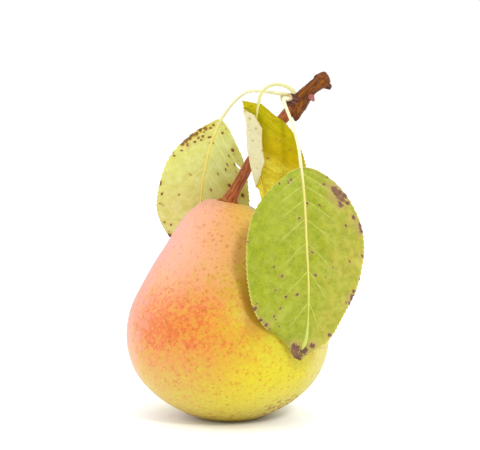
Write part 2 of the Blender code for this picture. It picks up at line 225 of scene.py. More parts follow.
def newTree(name, kind, inputs, outputs):
    # A tree with its inputs by name and the socket of its one output
    tree = bpy.data.node_groups.new(name, kind)
    for way, sockets in (("INPUT", inputs), ("OUTPUT", outputs)):
        for label, socketType, value in sockets:
            made = tree.interface.new_socket(
                name=label, in_out=way, socket_type="NodeSocket" + socketType)
            if value is not None:
                made.default_value = value
    given = tree.nodes.new("NodeGroupInput").outputs
    source = {socket.name: Signal(socket) for socket in given if socket.name}
    return tree, source, tree.nodes.new("NodeGroupOutput").inputs[0]


def shapeTree(name, inputs):
    return newTree(name, "GeometryNodeTree", [
        ("Geometry", "Geometry", None), *inputs, ("Finish", "Material", None),
    ], [("Geometry", "Geometry", None)])


def endTree(tree, source, geometry, output):
    smooth = addNode(tree, "GeometryNodeSetShadeSmooth", {"Geometry": geometry})
    real = addNode(tree, "GeometryNodeRealizeInstances", {"Geometry": smooth})
    plug(output, addNode(tree, "GeometryNodeSetMaterial",
                         {"Geometry": real, "Material": source["Finish"]}))
    return tree


def grow(name, tree, start, values):
    # Runs a tree on a start mesh and keeps the result as a plain mesh
    starter = bpy.data.objects.new(name + "Start", start)
    bpy.context.scene.collection.objects.link(starter)
    modifier = starter.modifiers.new(tree.name, "NODES")
    modifier.node_group = tree
    for item in tree.interface.items_tree:
        if item.in_out == "INPUT" and item.name in values:
            modifier[item.identifier] = values[item.name]
    graph = bpy.context.evaluated_depsgraph_get()
    mesh = bpy.data.meshes.new_from_object(starter.evaluated_get(graph))
    bpy.data.objects.remove(starter, do_unlink=True)
    return newPiece(name, mesh)


def lineMesh(name, lines):
    # Routes of x, y, z and radius as loose edges that carry their thickness
    mesh = bpy.data.meshes.new(name)
    points, edges, thick = [], [], []
    for line in lines:
        start = len(points)
        edges += [(start + i, start + i + 1) for i in range(len(line) - 1)]
        points += [(Vector(point[:3]) + axisPlace) * mm for point in line]
        thick += [point[3] * mm for point in line]
    mesh.from_pydata(points, edges, [])
    mesh.attributes.new("thick", "FLOAT", "POINT").data.foreach_set("value", thick)
    return mesh


def shellFaces(rows, columns, gone=()):
    # Two grids back to back, closed along the rim and round any cells that are gone
    width = columns + 1
    top = (rows + 1) * width
    faces, rims = [], []
    for i in range(rows):
        for j in range(columns):
            a, b = i * width + j, (i + 1) * width + j
            if (i, j) in gone:
                walls = (((i - 1, j), (a, a + 1)), ((i + 1, j), (b + 1, b)),
                         ((i, j - 1), (b, a)), ((i, j + 1), (a + 1, b + 1)))
                rims += [wall for beside, wall in walls if beside not in gone]
            else:
                faces.append((a, a + 1, b + 1, b))
                faces.append((top + a, top + b, top + b + 1, top + a + 1))
    rim = [i * width for i in range(rows + 1)]
    rim += [rows * width + j for j in range(1, width)]
    rim += [i * width + columns for i in range(rows - 1, -1, -1)]
    rim += range(columns - 1, 0, -1)
    rims += zip(rim, rim[1:] + rim[:1])
    return faces + [(here, there, top + there, top + here) for here, there in rims]


# A round piece that follows a route: stalk, spur, leaf stems, ribs and veins

def makePathTree():
    tree, source, output = shapeTree("followPath", [
        ("Steps", "Int", 60), ("Sides", "Int", 16),
        ("Ridge Count", "Float", 2.0), ("Ridge Height", "Float", 0.0),
        ("Ridge Length", "Float", 12.0), ("Lump Size", "Float", 2.0),
        ("Lump Height", "Float", 0.0), ("Seed", "Float", 0.0),
    ])
    curve = addNode(tree, "GeometryNodeMeshToCurve", {"Mesh": source["Geometry"]})
    even = addNode(tree, "GeometryNodeResampleCurve", {"Curve": curve, "Count": source["Steps"]})
    run = addNode(tree, "GeometryNodeSplineParameter", output="Length") * (1 / mm)
    route = store(even, "along", run)
    circle = addNode(tree, "GeometryNodeCurvePrimitiveCircle",
                     {"Resolution": source["Sides"], "Radius": 1.0}, "Curve")
    ring = store(circle, "ring", addNode(tree, "GeometryNodeInputPosition"), "FLOAT_VECTOR")
    tube = addNode(tree, "GeometryNodeCurveToMesh", {
        "Curve": route, "Profile Curve": ring, "Scale": named(tree, "thick"),
        "Fill Caps": True,
    })
    x, y, _ = split(named(tree, "ring", "FLOAT_VECTOR"))
    along = named(tree, "along")
    kept = store(tube, "pathCoords", combine(x, y, along), "FLOAT_VECTOR")
    count, seed = source["Ridge Count"], source["Seed"]
    long = combine(x * count, y * count, along / source["Ridge Length"] + seed)
    spots = vectorCalc("ADD", scaled(addNode(tree, "GeometryNodeInputPosition"),
                                     1 / mm / source["Lump Size"]), combine(0.0, 0.0, seed))
    ridges = (noiseNode(long, 1.0, 3.0) - 0.5) * source["Ridge Height"]
    lumps = (noiseNode(spots, 1.0, 3.0) - 0.5) * source["Lump Height"]
    outwards = scaled(addNode(tree, "GeometryNodeInputNormal"), (ridges + lumps) * (2 * mm))
    moved = addNode(tree, "GeometryNodeSetPosition", {"Geometry": kept, "Offset": outwards})
    return endTree(tree, source, moved, output)


pathTree = makePathTree()
print("helpers and path tree ready")


# Effects that several finishes share

def makeSpeckle():
    # Scattered round dots: Size is the room for each, Dot its radius as a share of that
    group, source, output = newTree("speckle", "ShaderNodeTree", [
        ("Vector", "Vector", None), ("Size", "Float", 1.0), ("Dot", "Float", 0.3),
        ("Amount", "Float", 0.5),
    ], [("Mask", "Float", None)])
    place = scaled(source["Vector"], 1.0 / source["Size"])
    far = addNode(group, "ShaderNodeTexVoronoi", {"Vector": place, "Scale": 1.0}, "Distance")
    chance = addNode(group, "ShaderNodeSeparateColor", {"Color": far.beside("Color")}, "Red")
    radius = source["Dot"] * (chance * 0.55 + 0.45)
    kept = calc("LESS_THAN", chance.beside("Green"), source["Amount"])
    plug(output, eased(1.0 - far / radius, 0.0, 0.45) * kept)
    return group


def makeMottle():
    # Soft uneven patches from 0 to 1, about Size across
    group, source, output = newTree("mottle", "ShaderNodeTree", [
        ("Vector", "Vector", None), ("Size", "Float", 4.0), ("Detail", "Float", 3.0),
        ("Contrast", "Float", 0.5), ("Seed", "Float", 0.0),
    ], [("Value", "Float", None)])
    shifted = vectorCalc("ADD", source["Vector"],
                         combine(source["Seed"], source["Seed"], 0.0))
    patches = noiseNode(scaled(shifted, 1.0 / source["Size"]), 1.0, source["Detail"], 0.6)
    width = 0.5 - source["Contrast"] * 0.45
    plug(output, eased(patches, 0.5 - width, 0.5 + width))
    return group


def makeFineNet():
    # The lines of a fine net of veins, its cells about Size across
    group, source, output = newTree("fineNet", "ShaderNodeTree", [
        ("Vector", "Vector", None), ("Size", "Float", 1.0), ("Line", "Float", 0.08),
    ], [("Mask", "Float", None)])
    place = scaled(source["Vector"], 1.0 / source["Size"])
    far = addNode(group, "ShaderNodeTexVoronoi", {"Vector": place, "Scale": 1.0}, "Distance",
                  feature="DISTANCE_TO_EDGE")
    plug(output, eased(far, 0.0, source["Line"], 1.0, 0.0))
    return group


speckle, mottle, fineNet = makeSpeckle(), makeMottle(), makeFineNet()


def effect(group, place, **values):
    return addNode(place.tree, "ShaderNodeGroup", {"Vector": place, **values},
                   node_tree=group)


def blend(share, first, second):
    return addNode(share.tree, "ShaderNodeMix", {0: share, 6: first, 7: second}, 2,
                   data_type="RGBA")


def newFinish(name, shine=0.5, roughness=0.5):
    # A material, and the place on the object in millimetres from the fruit's axis
    finish = bpy.data.materials.new(name)
    finish.use_nodes = True
    tree = finish.node_tree
    shader = tree.nodes["Principled BSDF"]
    shader.inputs["Specular IOR Level"].default_value = shine
    shader.inputs["Roughness"].default_value = roughness
    place = addNode(tree, "ShaderNodeMapping", {
        "Vector": addNode(tree, "ShaderNodeTexCoord", output="Object"),
        "Scale": (1 / mm,) * 3, "Location": -axisPlace,
    })
    return finish, place


def dress(finish, colour, height, depth, strength, roughness=None):
    # Joins colour, relief and roughness to the material's shader
    shader = finish.node_tree.nodes["Principled BSDF"]
    plug(shader.inputs["Base Color"], colour)
    if roughness is not None:
        plug(shader.inputs["Roughness"], roughness)
    plug(shader.inputs["Normal"], addNode(finish.node_tree, "ShaderNodeBump", {
        "Height": height, "Distance": depth * mm, "Strength": strength}))
    return finish


def attribute(place, name, output="Fac"):
    return addNode(place.tree, "ShaderNodeAttribute", None, output, attribute_name=name)


# Fruit

fruitSettings = {
    "radius": 33.2,
    "height": 71.2,
    # shares of the radius and of the height, from the stalk's hollow to the calyx basin
    "outline": (
        (0.0, 0.952), (0.075, 0.958), (0.122, 0.980), (0.185, 0.990), (0.262, 0.976),
        (0.375, 0.932), (0.487, 0.868), (0.605, 0.782), (0.737, 0.694), (0.872, 0.592),
        (0.962, 0.505), (1.0, 0.410), (0.991, 0.320), (0.940, 0.240), (0.845, 0.167),
        (0.705, 0.102), (0.545, 0.052), (0.400, 0.018), (0.290, 0.0), (0.187, 0.0),
        (0.148, 0.018), (0.078, 0.053), (0.0, 0.058),
    ),
    "lobes": ((3, 0.010, 0.8), (5, 0.005, -0.4)),  # waves round, share of radius, turn
    "bellyShift": -0.6,
    "bellySpan": (0.0, 0.4, 0.5, 0.7),
    "neckShift": -1.3,
    "neckSpan": (0.5, 0.78, 0.90, 1.0),
    "lipRise": 1.15,  # towards the left, and a little towards the front
    "lipFront": 0.45,
    "lipAll": 0.35,
    "lipFrom": 0.86,
    "lipRadii": (1.8, 4.5),
    "dentSize": 13.0,
    "dentDepth": 0.30,
    "pitSize": 2.6,
    "pitDepth": 0.045,
    "roundSteps": 256,
    "heightSteps": 210,
}

skinSettings = {
    "shine": 0.3,
    "sunWay": (-0.67, -0.742, 0.0),  # the side that faced the sun, where the blush is
    "brightWay": (0.50, -0.866, 0.0),  # the clear yellow patch
    "brightSpan": (3.0, 11.0, 17.0, 28.0),  # and the heights between which it lies
    "scuffWay": (0.84, -0.54, 0.0),  # a scuffed patch low on the right
    "scuffSpan": (1.0, 3.0, 7.0, 11.5),
    "leafShadowWay": (0.29, -0.957, 0.0),  # painted shadow of the front leaf, a darker streak on the skin beside it
    "leafShadowSpan": (27.0, 36.0, 45.0, 53.0),
    "blushSteps": (
        (0.0, tint(205, 192, 40)), (0.22, tint(206, 178, 30)), (0.48, tint(208, 160, 34)),
        (0.72, tint(215, 147, 44)), (0.88, tint(217, 128, 42)), (1.0, tint(213, 106, 38)),
    ),
    # the colour of the front leaf's painted shadow on the skin
    "shade": tint(176, 116, 26),
    "peach": tint(226, 160, 88),
    "neckGold": tint(222, 176, 78),
    # pink, rose and cream paint the left side paler: partly real blush, partly a painted wash of
    # light
    "pink": tint(222, 158, 140),
    "rose": tint(226, 166, 160),
    "cream": tint(212, 180, 140),
    # straw paints a highlight along the right side
    "strawHighlight": tint(216, 207, 138),
    "clear": tint(214, 198, 8),
    "lenticel": tint(154, 92, 30),
    "fleck": tint(192, 104, 34),
    "amber": tint(198, 142, 26),
    "russet": tint(150, 104, 58),
    "reliefDepth": 0.03,
}


def makeFruitTree():
    s = fruitSettings
    tree, source, output = shapeTree("turnedFruit", [
        ("Round Steps", "Int", 256), ("Height Steps", "Int", 200),
        ("Height", "Float", s["height"]), ("Lip Rise", "Float", s["lipRise"]),
        ("Dent Depth", "Float", s["dentDepth"]), ("Pit Depth", "Float", s["pitDepth"]),
    ])
    outline = addNode(tree, "GeometryNodeMeshToCurve", {"Mesh": source["Geometry"]})
    grid = addNode(tree, "GeometryNodeMeshGrid", {
        "Size X": 1.0, "Size Y": 1.0, "Vertices X": source["Round Steps"],
        "Vertices Y": source["Height Steps"],
    })
    x, y, _ = split(addNode(tree, "GeometryNodeInputPosition"))
    angle = x * (2 * math.pi)
    cosine, sine = calc("COSINE", angle), calc("SINE", angle)
    radius, _, height = split(addNode(
        tree, "GeometryNodeSampleCurve", {"Curves": outline, "Factor": y + 0.5}, "Position",
        mode="FACTOR", use_all_curves=True))
    radius, height = larger(radius, 0.0), larger(height, 0.0)
    share = height / source["Height"]
    middle = calc("SINE", calc("MINIMUM", share, 1.0) * math.pi)
    belly = calc("POWER", larger(middle, 0.0), 0.7)
    lobes = 0.0
    for waves, amount, turn in s["lobes"]:
        lobes = calc("COSINE", angle * waves + turn) * amount + lobes
    wide = radius * (belly * lobes + 1.0)
    shift = hillNode(share, s["bellySpan"]) * s["bellyShift"]
    shift += hillNode(share, s["neckSpan"]) * s["neckShift"]
    leftLip = calc("COSINE", angle - math.pi) * source["Lip Rise"]
    lip = leftLip + (sine * -s["lipFront"] + s["lipAll"])
    lip *= eased(share, s["lipFrom"], 1.0) * eased(radius, *s["lipRadii"])
    point = combine(cosine * wide + shift, sine * wide, lip + height)
    dents = (noiseNode(point, 1 / s["dentSize"]) - 0.5) * source["Dent Depth"]
    pits = (noiseNode(point, 1 / s["pitSize"]) - 0.5) * source["Pit Depth"]
    uneven = scaled(combine(cosine, sine, 0.0), (dents + pits) * 2.0 * belly)
    point = vectorCalc("ADD", vectorCalc("ADD", point, uneven), tuple(axisPlace))
    turned = addNode(tree, "GeometryNodeSetPosition",
                     {"Geometry": grid, "Position": scaled(point, mm)})
    closed = addNode(tree, "GeometryNodeMergeByDistance",
                     {"Geometry": turned, "Distance": 1e-6})
    return endTree(tree, source, closed, output)


def makeSkin():
    s = skinSettings
    finish, place = newFinish("pearSkin", s["shine"])
    x, y, high = split(place)
    outward = vectorCalc("NORMALIZE", combine(x, y, 0.0))
    toRight, toBack, _ = split(outward)

    def facing(way):
        return vectorCalc("DOT_PRODUCT", outward, s[way])

    broad = effect(mottle, place, Size=10.0, Detail=3.0, Contrast=0.35)
    blotch = effect(mottle, place, Size=3.4, Detail=3.0, Contrast=0.6, Seed=31.0)
    fleck = effect(mottle, place, Size=1.2, Detail=2.0, Contrast=0.8, Seed=7.0)
    grain = effect(mottle, place, Size=0.6, Detail=2.0, Contrast=0.6, Seed=17.0)

    # from green and yellow to red on the sunny side
    sunny = larger(facing("sunWay") * 1.6 - 0.6, 0.0)
    rise = eased(high, 1.0, 34.0) * eased(high, 36.0, 60.0, 1.0, 0.62)
    blush = sunny * rise + (broad * 0.20 + blotch * 0.26 + fleck * 0.30 - 0.40)
    colour = addNode(place.tree, "ShaderNodeValToRGB", {"Fac": blush})
    stops = colour.socket.node.color_ramp.elements
    for index, (at, shade) in enumerate(s["blushSteps"]):
        stop = stops[index] if index < 2 else stops.new(at)
        stop.position = at
        stop.color = shade

    # the neck, the clear yellow patch, and a painted shadow of the front leaf as a darker streak
    neck = blend(eased(blotch * 0.3 + toRight, 0.1, 0.85), s["peach"], s["neckGold"])
    colour = blend(eased(blotch * 8.0 + high, 44.0, 62.0, 0.0, 0.85), colour, neck)
    clear = hillNode(high, s["brightSpan"]) * eased(facing("brightWay"), 0.72, 1.0)
    colour = blend(clear * (blotch * 0.7 + 0.15), colour, s["clear"])
    # painted shadow: the front leaf's shadow darkens this streak of skin
    paintedLeafShadow = hillNode(high, s["leafShadowSpan"]) * eased(facing("leafShadowWay"), 0.984, 0.998)
    colour = blend(paintedLeafShadow * 0.6, colour, s["shade"])

    # pale pink on the left, partly real blush and partly a painted wash of light on that side;
    # pale straw low down and along the right side, where it is a painted highlight
    left = blotch * 0.16 - 0.08 - toRight
    wide = eased(left, -0.35, 1.1) * (eased(high, 34.0, 54.0, 0.10, 0.72)
                                      + eased(high, 18.0, 34.0, 0.26, 0.0))
    rosyAndLightWash = larger(eased(left, 0.68, 1.03), wide)
    rosyAndLightWash *= eased(broad * 0.5 + toBack, 0.2, 1.35, 0.95, 0.2)
    pale = blend(eased(high, 12.0, 30.0), s["cream"], s["pink"])
    pale = blend(eased(high, 38.0, 54.0), pale, s["rose"])
    colour = blend(rosyAndLightWash, colour, pale)
    low = eased(high, 20.0, 6.0, 0.0, 0.25) * eased(toRight, -0.3, 0.8)
    strawHighlight = larger(low, eased(toRight, 0.72, 1.0, 0.0, 0.55))
    colour = blend(strawHighlight, colour, s["strawHighlight"])

    # grains and dots, fainter where the skin is pale with its painted wash of light
    shown = rosyAndLightWash * -0.8 + 0.95
    grains = effect(speckle, place, Size=1.5, Dot=0.62, Amount=0.75) * (fleck * 0.7 + 0.2)
    warm = blend(eased(blush, 0.25, 0.75), s["amber"], s["fleck"])
    colour = blend(grains * shown * 0.78, colour, warm)
    large = effect(speckle, place, Size=1.25, Dot=0.26, Amount=0.9)
    small = effect(speckle, place, Size=0.8, Dot=0.30, Amount=0.8)
    dots = larger(large, small * 0.6)
    colour = blend(dots * shown * 0.56, colour, s["lenticel"])

    # russet at the foot and the crown, and the scuffed patch
    foot = eased(high, 9.0, 0.5) * effect(
        mottle, place, Size=1.5, Detail=4.0, Contrast=0.85, Seed=3.0)
    crown = eased(high, 67.5, 71.5) * effect(
        mottle, place, Size=1.6, Detail=4.0, Contrast=0.6, Seed=9.0)
    scuff = hillNode(high, s["scuffSpan"]) * eased(facing("scuffWay"), 0.86, 0.97)
    scuff *= effect(speckle, place, Size=1.5, Dot=0.75, Amount=0.9)
    rough = larger(larger(foot * 0.6, crown * 0.35), scuff * 0.95)
    colour = blend(rough, colour, s["russet"])
    colour = blend(grain * 0.10, colour, s["lenticel"])
    return dress(finish, colour, grain * 0.5 + dots, depth=s["reliefDepth"], strength=0.7,
                 roughness=rough * 0.22 + 0.42 + fleck * 0.08)


def makeFruit():
    s = fruitSettings
    start = bpy.data.meshes.new("fruitOutline")
    points = [(max(0.0, out) * s["radius"], 0.0, max(0.0, up) * s["height"])
              for out, up in smoothLine(s["outline"], 10)]
    start.from_pydata(points, [(i, i + 1) for i in range(len(points) - 1)], [])
    fruit = grow("fruitFlesh", makeFruitTree(), start, {
        "Round Steps": s["roundSteps"] + 1, "Height Steps": s["heightSteps"],
        "Height": s["height"], "Lip Rise": s["lipRise"], "Dent Depth": s["dentDepth"],
        "Pit Depth": s["pitDepth"], "Finish": makeSkin(),
    })
    settle(fruit, "fruit")
    print("fruit", len(fruit.data.polygons), "faces")


makeFruit()


# Woody pieces

stalkSettings = {
    "route": (
        (0.4, 0.2, 68.4, 3.1), (0.35, 0.1, 70.5, 3.0), (0.6, 0.0, 71.6, 2.65),
        (1.3, -0.3, 73.0, 2.2), (2.3, -0.7, 75.0, 1.92), (4.5, -1.4, 79.1, 1.8),
        (7.7, -2.5, 85.0, 1.6), (12.2, -3.9, 91.5, 1.5), (16.6, -5.4, 97.0, 1.7),
        (19.6, -6.4, 100.6, 1.9), (21.6, -7.0, 102.6, 1.95),
    ),
    "knob": ((-3.4, -3.3, 71.5, 0.4), (-2.8, -3.0, 71.8, 0.65), (-1.8, -2.3, 71.7, 0.8),
             (-0.4, -1.2, 71.4, 0.9)),
    "steps": 170,
    "sides": 44,
    "relief": {"Ridge Count": 2.4, "Ridge Height": 0.34, "Ridge Length": 13.0,
               "Lump Size": 2.4, "Lump Height": 0.12},
}

spurSettings = {
    "route": (
        (21.6, -7.4, 97.6, 0.25), (21.7, -7.4, 98.5, 0.9), (21.95, -7.4, 100.1, 1.7),
        (22.15, -7.4, 101.7, 2.55), (22.9, -7.6, 103.5, 2.75), (24.6, -8.3, 106.0, 2.4),
        (26.6, -9.0, 108.1, 2.1), (28.4, -9.6, 109.5, 2.2), (29.8, -10.1, 110.6, 2.4),
        (30.8, -10.5, 111.3, 2.25), (31.3, -10.8, 111.6, 1.9),
    ),
    "collar": ((22.6, -7.9, 104.2, 2.3), (20.9, -8.4, 104.7, 2.05), (19.8, -8.7, 104.9, 1.7)),
    "snags": (
        ((20.6, -9.2, 103.6, 0.85), (19.0, -10.0, 103.2, 0.65), (18.2, -10.4, 103.3, 0.3)),
        ((31.0, -9.9, 109.4, 1.35), (32.0, -10.0, 108.8, 1.0), (32.7, -10.2, 108.3, 0.65)),
        ((24.2, -6.6, 106.2, 1.2), (25.2, -4.9, 106.6, 0.9), (25.8, -4.2, 106.9, 0.3)),
        ((27.6, -10.4, 111.2, 0.6), (28.2, -10.7, 111.8, 0.7), (28.8, -10.9, 112.2, 0.4)),
    ),
    "nub": ((19.9, -9.1, 105.0, 1.2), (18.3, -9.7, 105.0, 1.1), (17.1, -10.2, 104.9, 0.95)),
    "steps": 130,
    "sides": 64,
    "relief": {"Ridge Count": 2.0, "Ridge Height": 0.48, "Ridge Length": 6.0,
               "Lump Size": 1.5, "Lump Height": 0.26},
}

barkSettings = {
    "stalk": {"light": tint(196, 118, 62), "main": tint(170, 82, 32), "dark": tint(98, 30, 14),
              "streaks": 3.0, "groove": 0.7},
    "spur": {"light": tint(158, 90, 14), "main": tint(104, 50, 2), "dark": tint(58, 22, 4),
             "streaks": 2.2, "groove": 0.6},
    "scar": {"light": tint(132, 84, 66), "main": tint(94, 52, 42), "dark": tint(40, 22, 18),
             "streaks": 3.0, "groove": 0.6},
    "nub": {"light": tint(222, 208, 150), "main": tint(204, 184, 112), "dark": tint(150, 112, 62),
            "streaks": 2.0, "groove": 0.3},
    "knob": {"light": tint(214, 150, 92), "main": tint(192, 116, 58), "dark": tint(120, 62, 32),
             "streaks": 2.0, "groove": 0.3},
}


def makeBark(name):
    s = barkSettings[name]
    finish, place = newFinish(name + "Bark", shine=0.22)
    path = attribute(place, "pathCoords", "Vector")
    count = s["streaks"]
    long = vectorCalc("MULTIPLY", path, (count, count, 0.16))
    fine = vectorCalc("MULTIPLY", path, (count * 2.4, count * 2.4, 0.5))
    streaks = effect(mottle, long, Size=1.0, Detail=4.0, Contrast=0.8)
    hairs = effect(mottle, fine, Size=1.0, Detail=3.0, Contrast=0.8, Seed=9.0)
    patches = effect(mottle, place, Size=1.9, Detail=4.0, Contrast=0.6, Seed=5.0)
    flecks = effect(speckle, place, Size=0.8, Dot=0.32, Amount=0.5)
    colour = blend(hairs * 0.7, s["main"], s["light"])
    colour = blend(patches * 0.4, colour, s["dark"])
    colour = blend(eased(streaks, 0.34, 0.0) * s["groove"], colour, s["dark"])
    colour = blend(eased(streaks, 0.66, 1.0) * 0.6, colour, s["light"])
    colour = blend(flecks * 0.35, colour, s["light"])
    return dress(finish, colour, streaks * 1.6 + hairs * 0.5 + patches, depth=0.14,
                 strength=0.9, roughness=patches * 0.22 + 0.42)


def woodyPiece(name, node, lines, s, finish, seed, steps=None, sides=None):
    piece = grow(name, pathTree, lineMesh(name, lines), {
        "Steps": steps or s["steps"], "Sides": sides or s["sides"], **s["relief"],
        "Seed": seed, "Finish": finish,
    })
    settle(piece, node)


def makeStalk():
    s = stalkSettings
    woodyPiece("stalkWood", "stalk", [smoothLine(s["route"], 8)], s, makeBark("stalk"), 4.0)
    woodyPiece("stalkKnob", "stalk", [smoothLine(s["knob"], 6)], s, makeBark("knob"), 2.0,
               steps=24, sides=24)


def makeSpur():
    s = spurSettings
    bark, scarBark = makeBark("spur"), makeBark("scar")
    woodyPiece("spurStem", "spur", [smoothLine(s["route"], 8)], s, bark, 11.0)
    woodyPiece("spurCollar", "spur", [smoothLine(s["collar"], 8)], s, scarBark, 3.0,
               steps=30, sides=32)
    snags = [smoothLine(route, 6) for route in s["snags"]]
    woodyPiece("spurSnags", "spur", snags, s, scarBark, 8.0, steps=22, sides=22)
    woodyPiece("spurNub", "spur", [smoothLine(s["nub"], 6)], s, makeBark("nub"), 6.0,
               steps=24, sides=28)


makeStalk()
makeSpur()
print("stalk and spur done")


# Leaves

bluntEnd = 0.95
frontLeaf = {
    "midrib": (
        (23.0, -22.5, 83.6), (23.9, -25.6, 73.8), (24.5, -29.0, 60.1),
        (25.1, -31.2, 46.3), (24.5, -31.0, 31.9), (21.7, -28.0, 24.1),
    ),
    "faces": ((0.10, -1.0, 0.30), (0.05, -1.0, -0.05)),
    "edges": (
        ((0.0, bluntEnd), (0.02, 3.8), (0.07, 8.3), (0.15, 13.4), (0.25, 16.9),
         (0.40, 19.1), (0.58, 19.1), (0.73, 17.2), (0.855, 12.3), (0.94, 5.6),
         (1.0, bluntEnd)),
        ((0.0, bluntEnd), (0.02, 4.6), (0.075, 9.3), (0.16, 13.8), (0.27, 17.1),
         (0.39, 18.5), (0.50, 17.8), (0.62, 15.3), (0.75, 11.4), (0.86, 7.7),
         (0.93, 2.9), (1.0, bluntEnd)),
    ),
    "fold": (6, 5),
    "curl": (-14, -22),
    "curlSpans": ((0.0, 0.2, 1.0), (1.0, 0.2, 1.0)),
    "curlAlong": (0.0, 0.3, 0.86, 0.99),
    "wave": (0.7, 3.0, 0.4),
    "petiole": (
        (20.6, -9.4, 105.0, 0.9), (19.0, -10.2, 104.9, 0.74), (17.6, -11.2, 104.7, 0.66),
        (18.3, -12.9, 102.4, 0.52), (20.4, -17.0, 96.8, 0.48), (22.1, -20.2, 90.2, 0.48),
        (22.92, -22.2, 84.15, 0.52),
    ),
    # radius of the midrib along the blade, its lower end a broad pale fold
    "ribRadii": ((0.0, 0.52), (0.25, 0.42), (0.60, 0.34), (0.76, 0.32), (0.84, 0.55),
                 (0.91, 0.72), (0.93, 0.5), (0.94, 0.2)),
    "veinRows": (0.05, 0.165, 0.285, 0.41, 0.535, 0.66, 0.78),
    "veinReach": (0.86, 0.86),
    "teeth": 42,
    "quilt": 0.15,
    "flutter": 0.35,
    "spots": (  # x, height and radius of each brown one
        (34.2, 75.6, 1.7), (33.2, 77.2, 1.1), (35.4, 73.8, 1.2), (36.6, 75.0, 0.9),
        (35.2, 72.2, 0.9), (37.3, 72.7, 0.7), (39.2, 68.2, 0.8), (36.9, 66.0, 0.6),
        (41.9, 64.5, 1.2), (41.2, 66.2, 0.9), (42.1, 56.3, 0.7), (41.5, 49.1, 0.7),
        (38.9, 43.6, 1.2), (38.2, 42.0, 0.9), (39.3, 45.5, 0.6), (8.1, 40.6, 0.9),
        (10.0, 37.1, 0.8), (12.0, 35.6, 0.8), (26.2, 57.9, 0.6), (27.2, 51.0, 0.5),
        (21.5, 45.0, 0.6), (18.1, 44.4, 0.6), (16.6, 50.7, 0.6), (14.4, 38.4, 0.5),
        (24.4, 72.9, 0.5), (30.1, 78.5, 0.5), (6.0, 61.4, 0.5), (31.6, 32.0, 0.6),
        (22.4, 68.2, 0.5), (20.9, 25.0, 2.6), (18.0, 27.0, 1.5), (23.7, 27.2, 1.6),
        (26.4, 28.7, 0.9), (15.2, 28.4, 0.8), (12.9, 29.2, 0.5), (20.9, 27.8, 1.6),
    ),
    "specks": (34, 0.32),  # how many small ones are scattered, their radius
    "main": tint(146, 157, 10), "start": tint(148, 162, 8), "end": tint(152, 158, 34),
    "warm": tint(199, 166, 80), "pale": tint(178, 181, 80), "net": tint(172, 176, 42),
    "under": tint(190, 192, 116), "spot": tint(94, 58, 56), "halo": tint(176, 138, 92),
    "edge": tint(206, 196, 104), "vein": tint(196, 198, 98), "rib": tint(218, 204, 108),
    "ribEnd": tint(190, 196, 90), "warmAndShadedHalf": (0.49, 0.95), "roughness": 0.46,
    "shine": 0.2, "deep": tint(112, 128, 2), "endFrom": (0.45, 0.80),
    "startTo": (0.02, 0.34), "stem": tint(238, 230, 196), "ribRun": (36, 48),
}

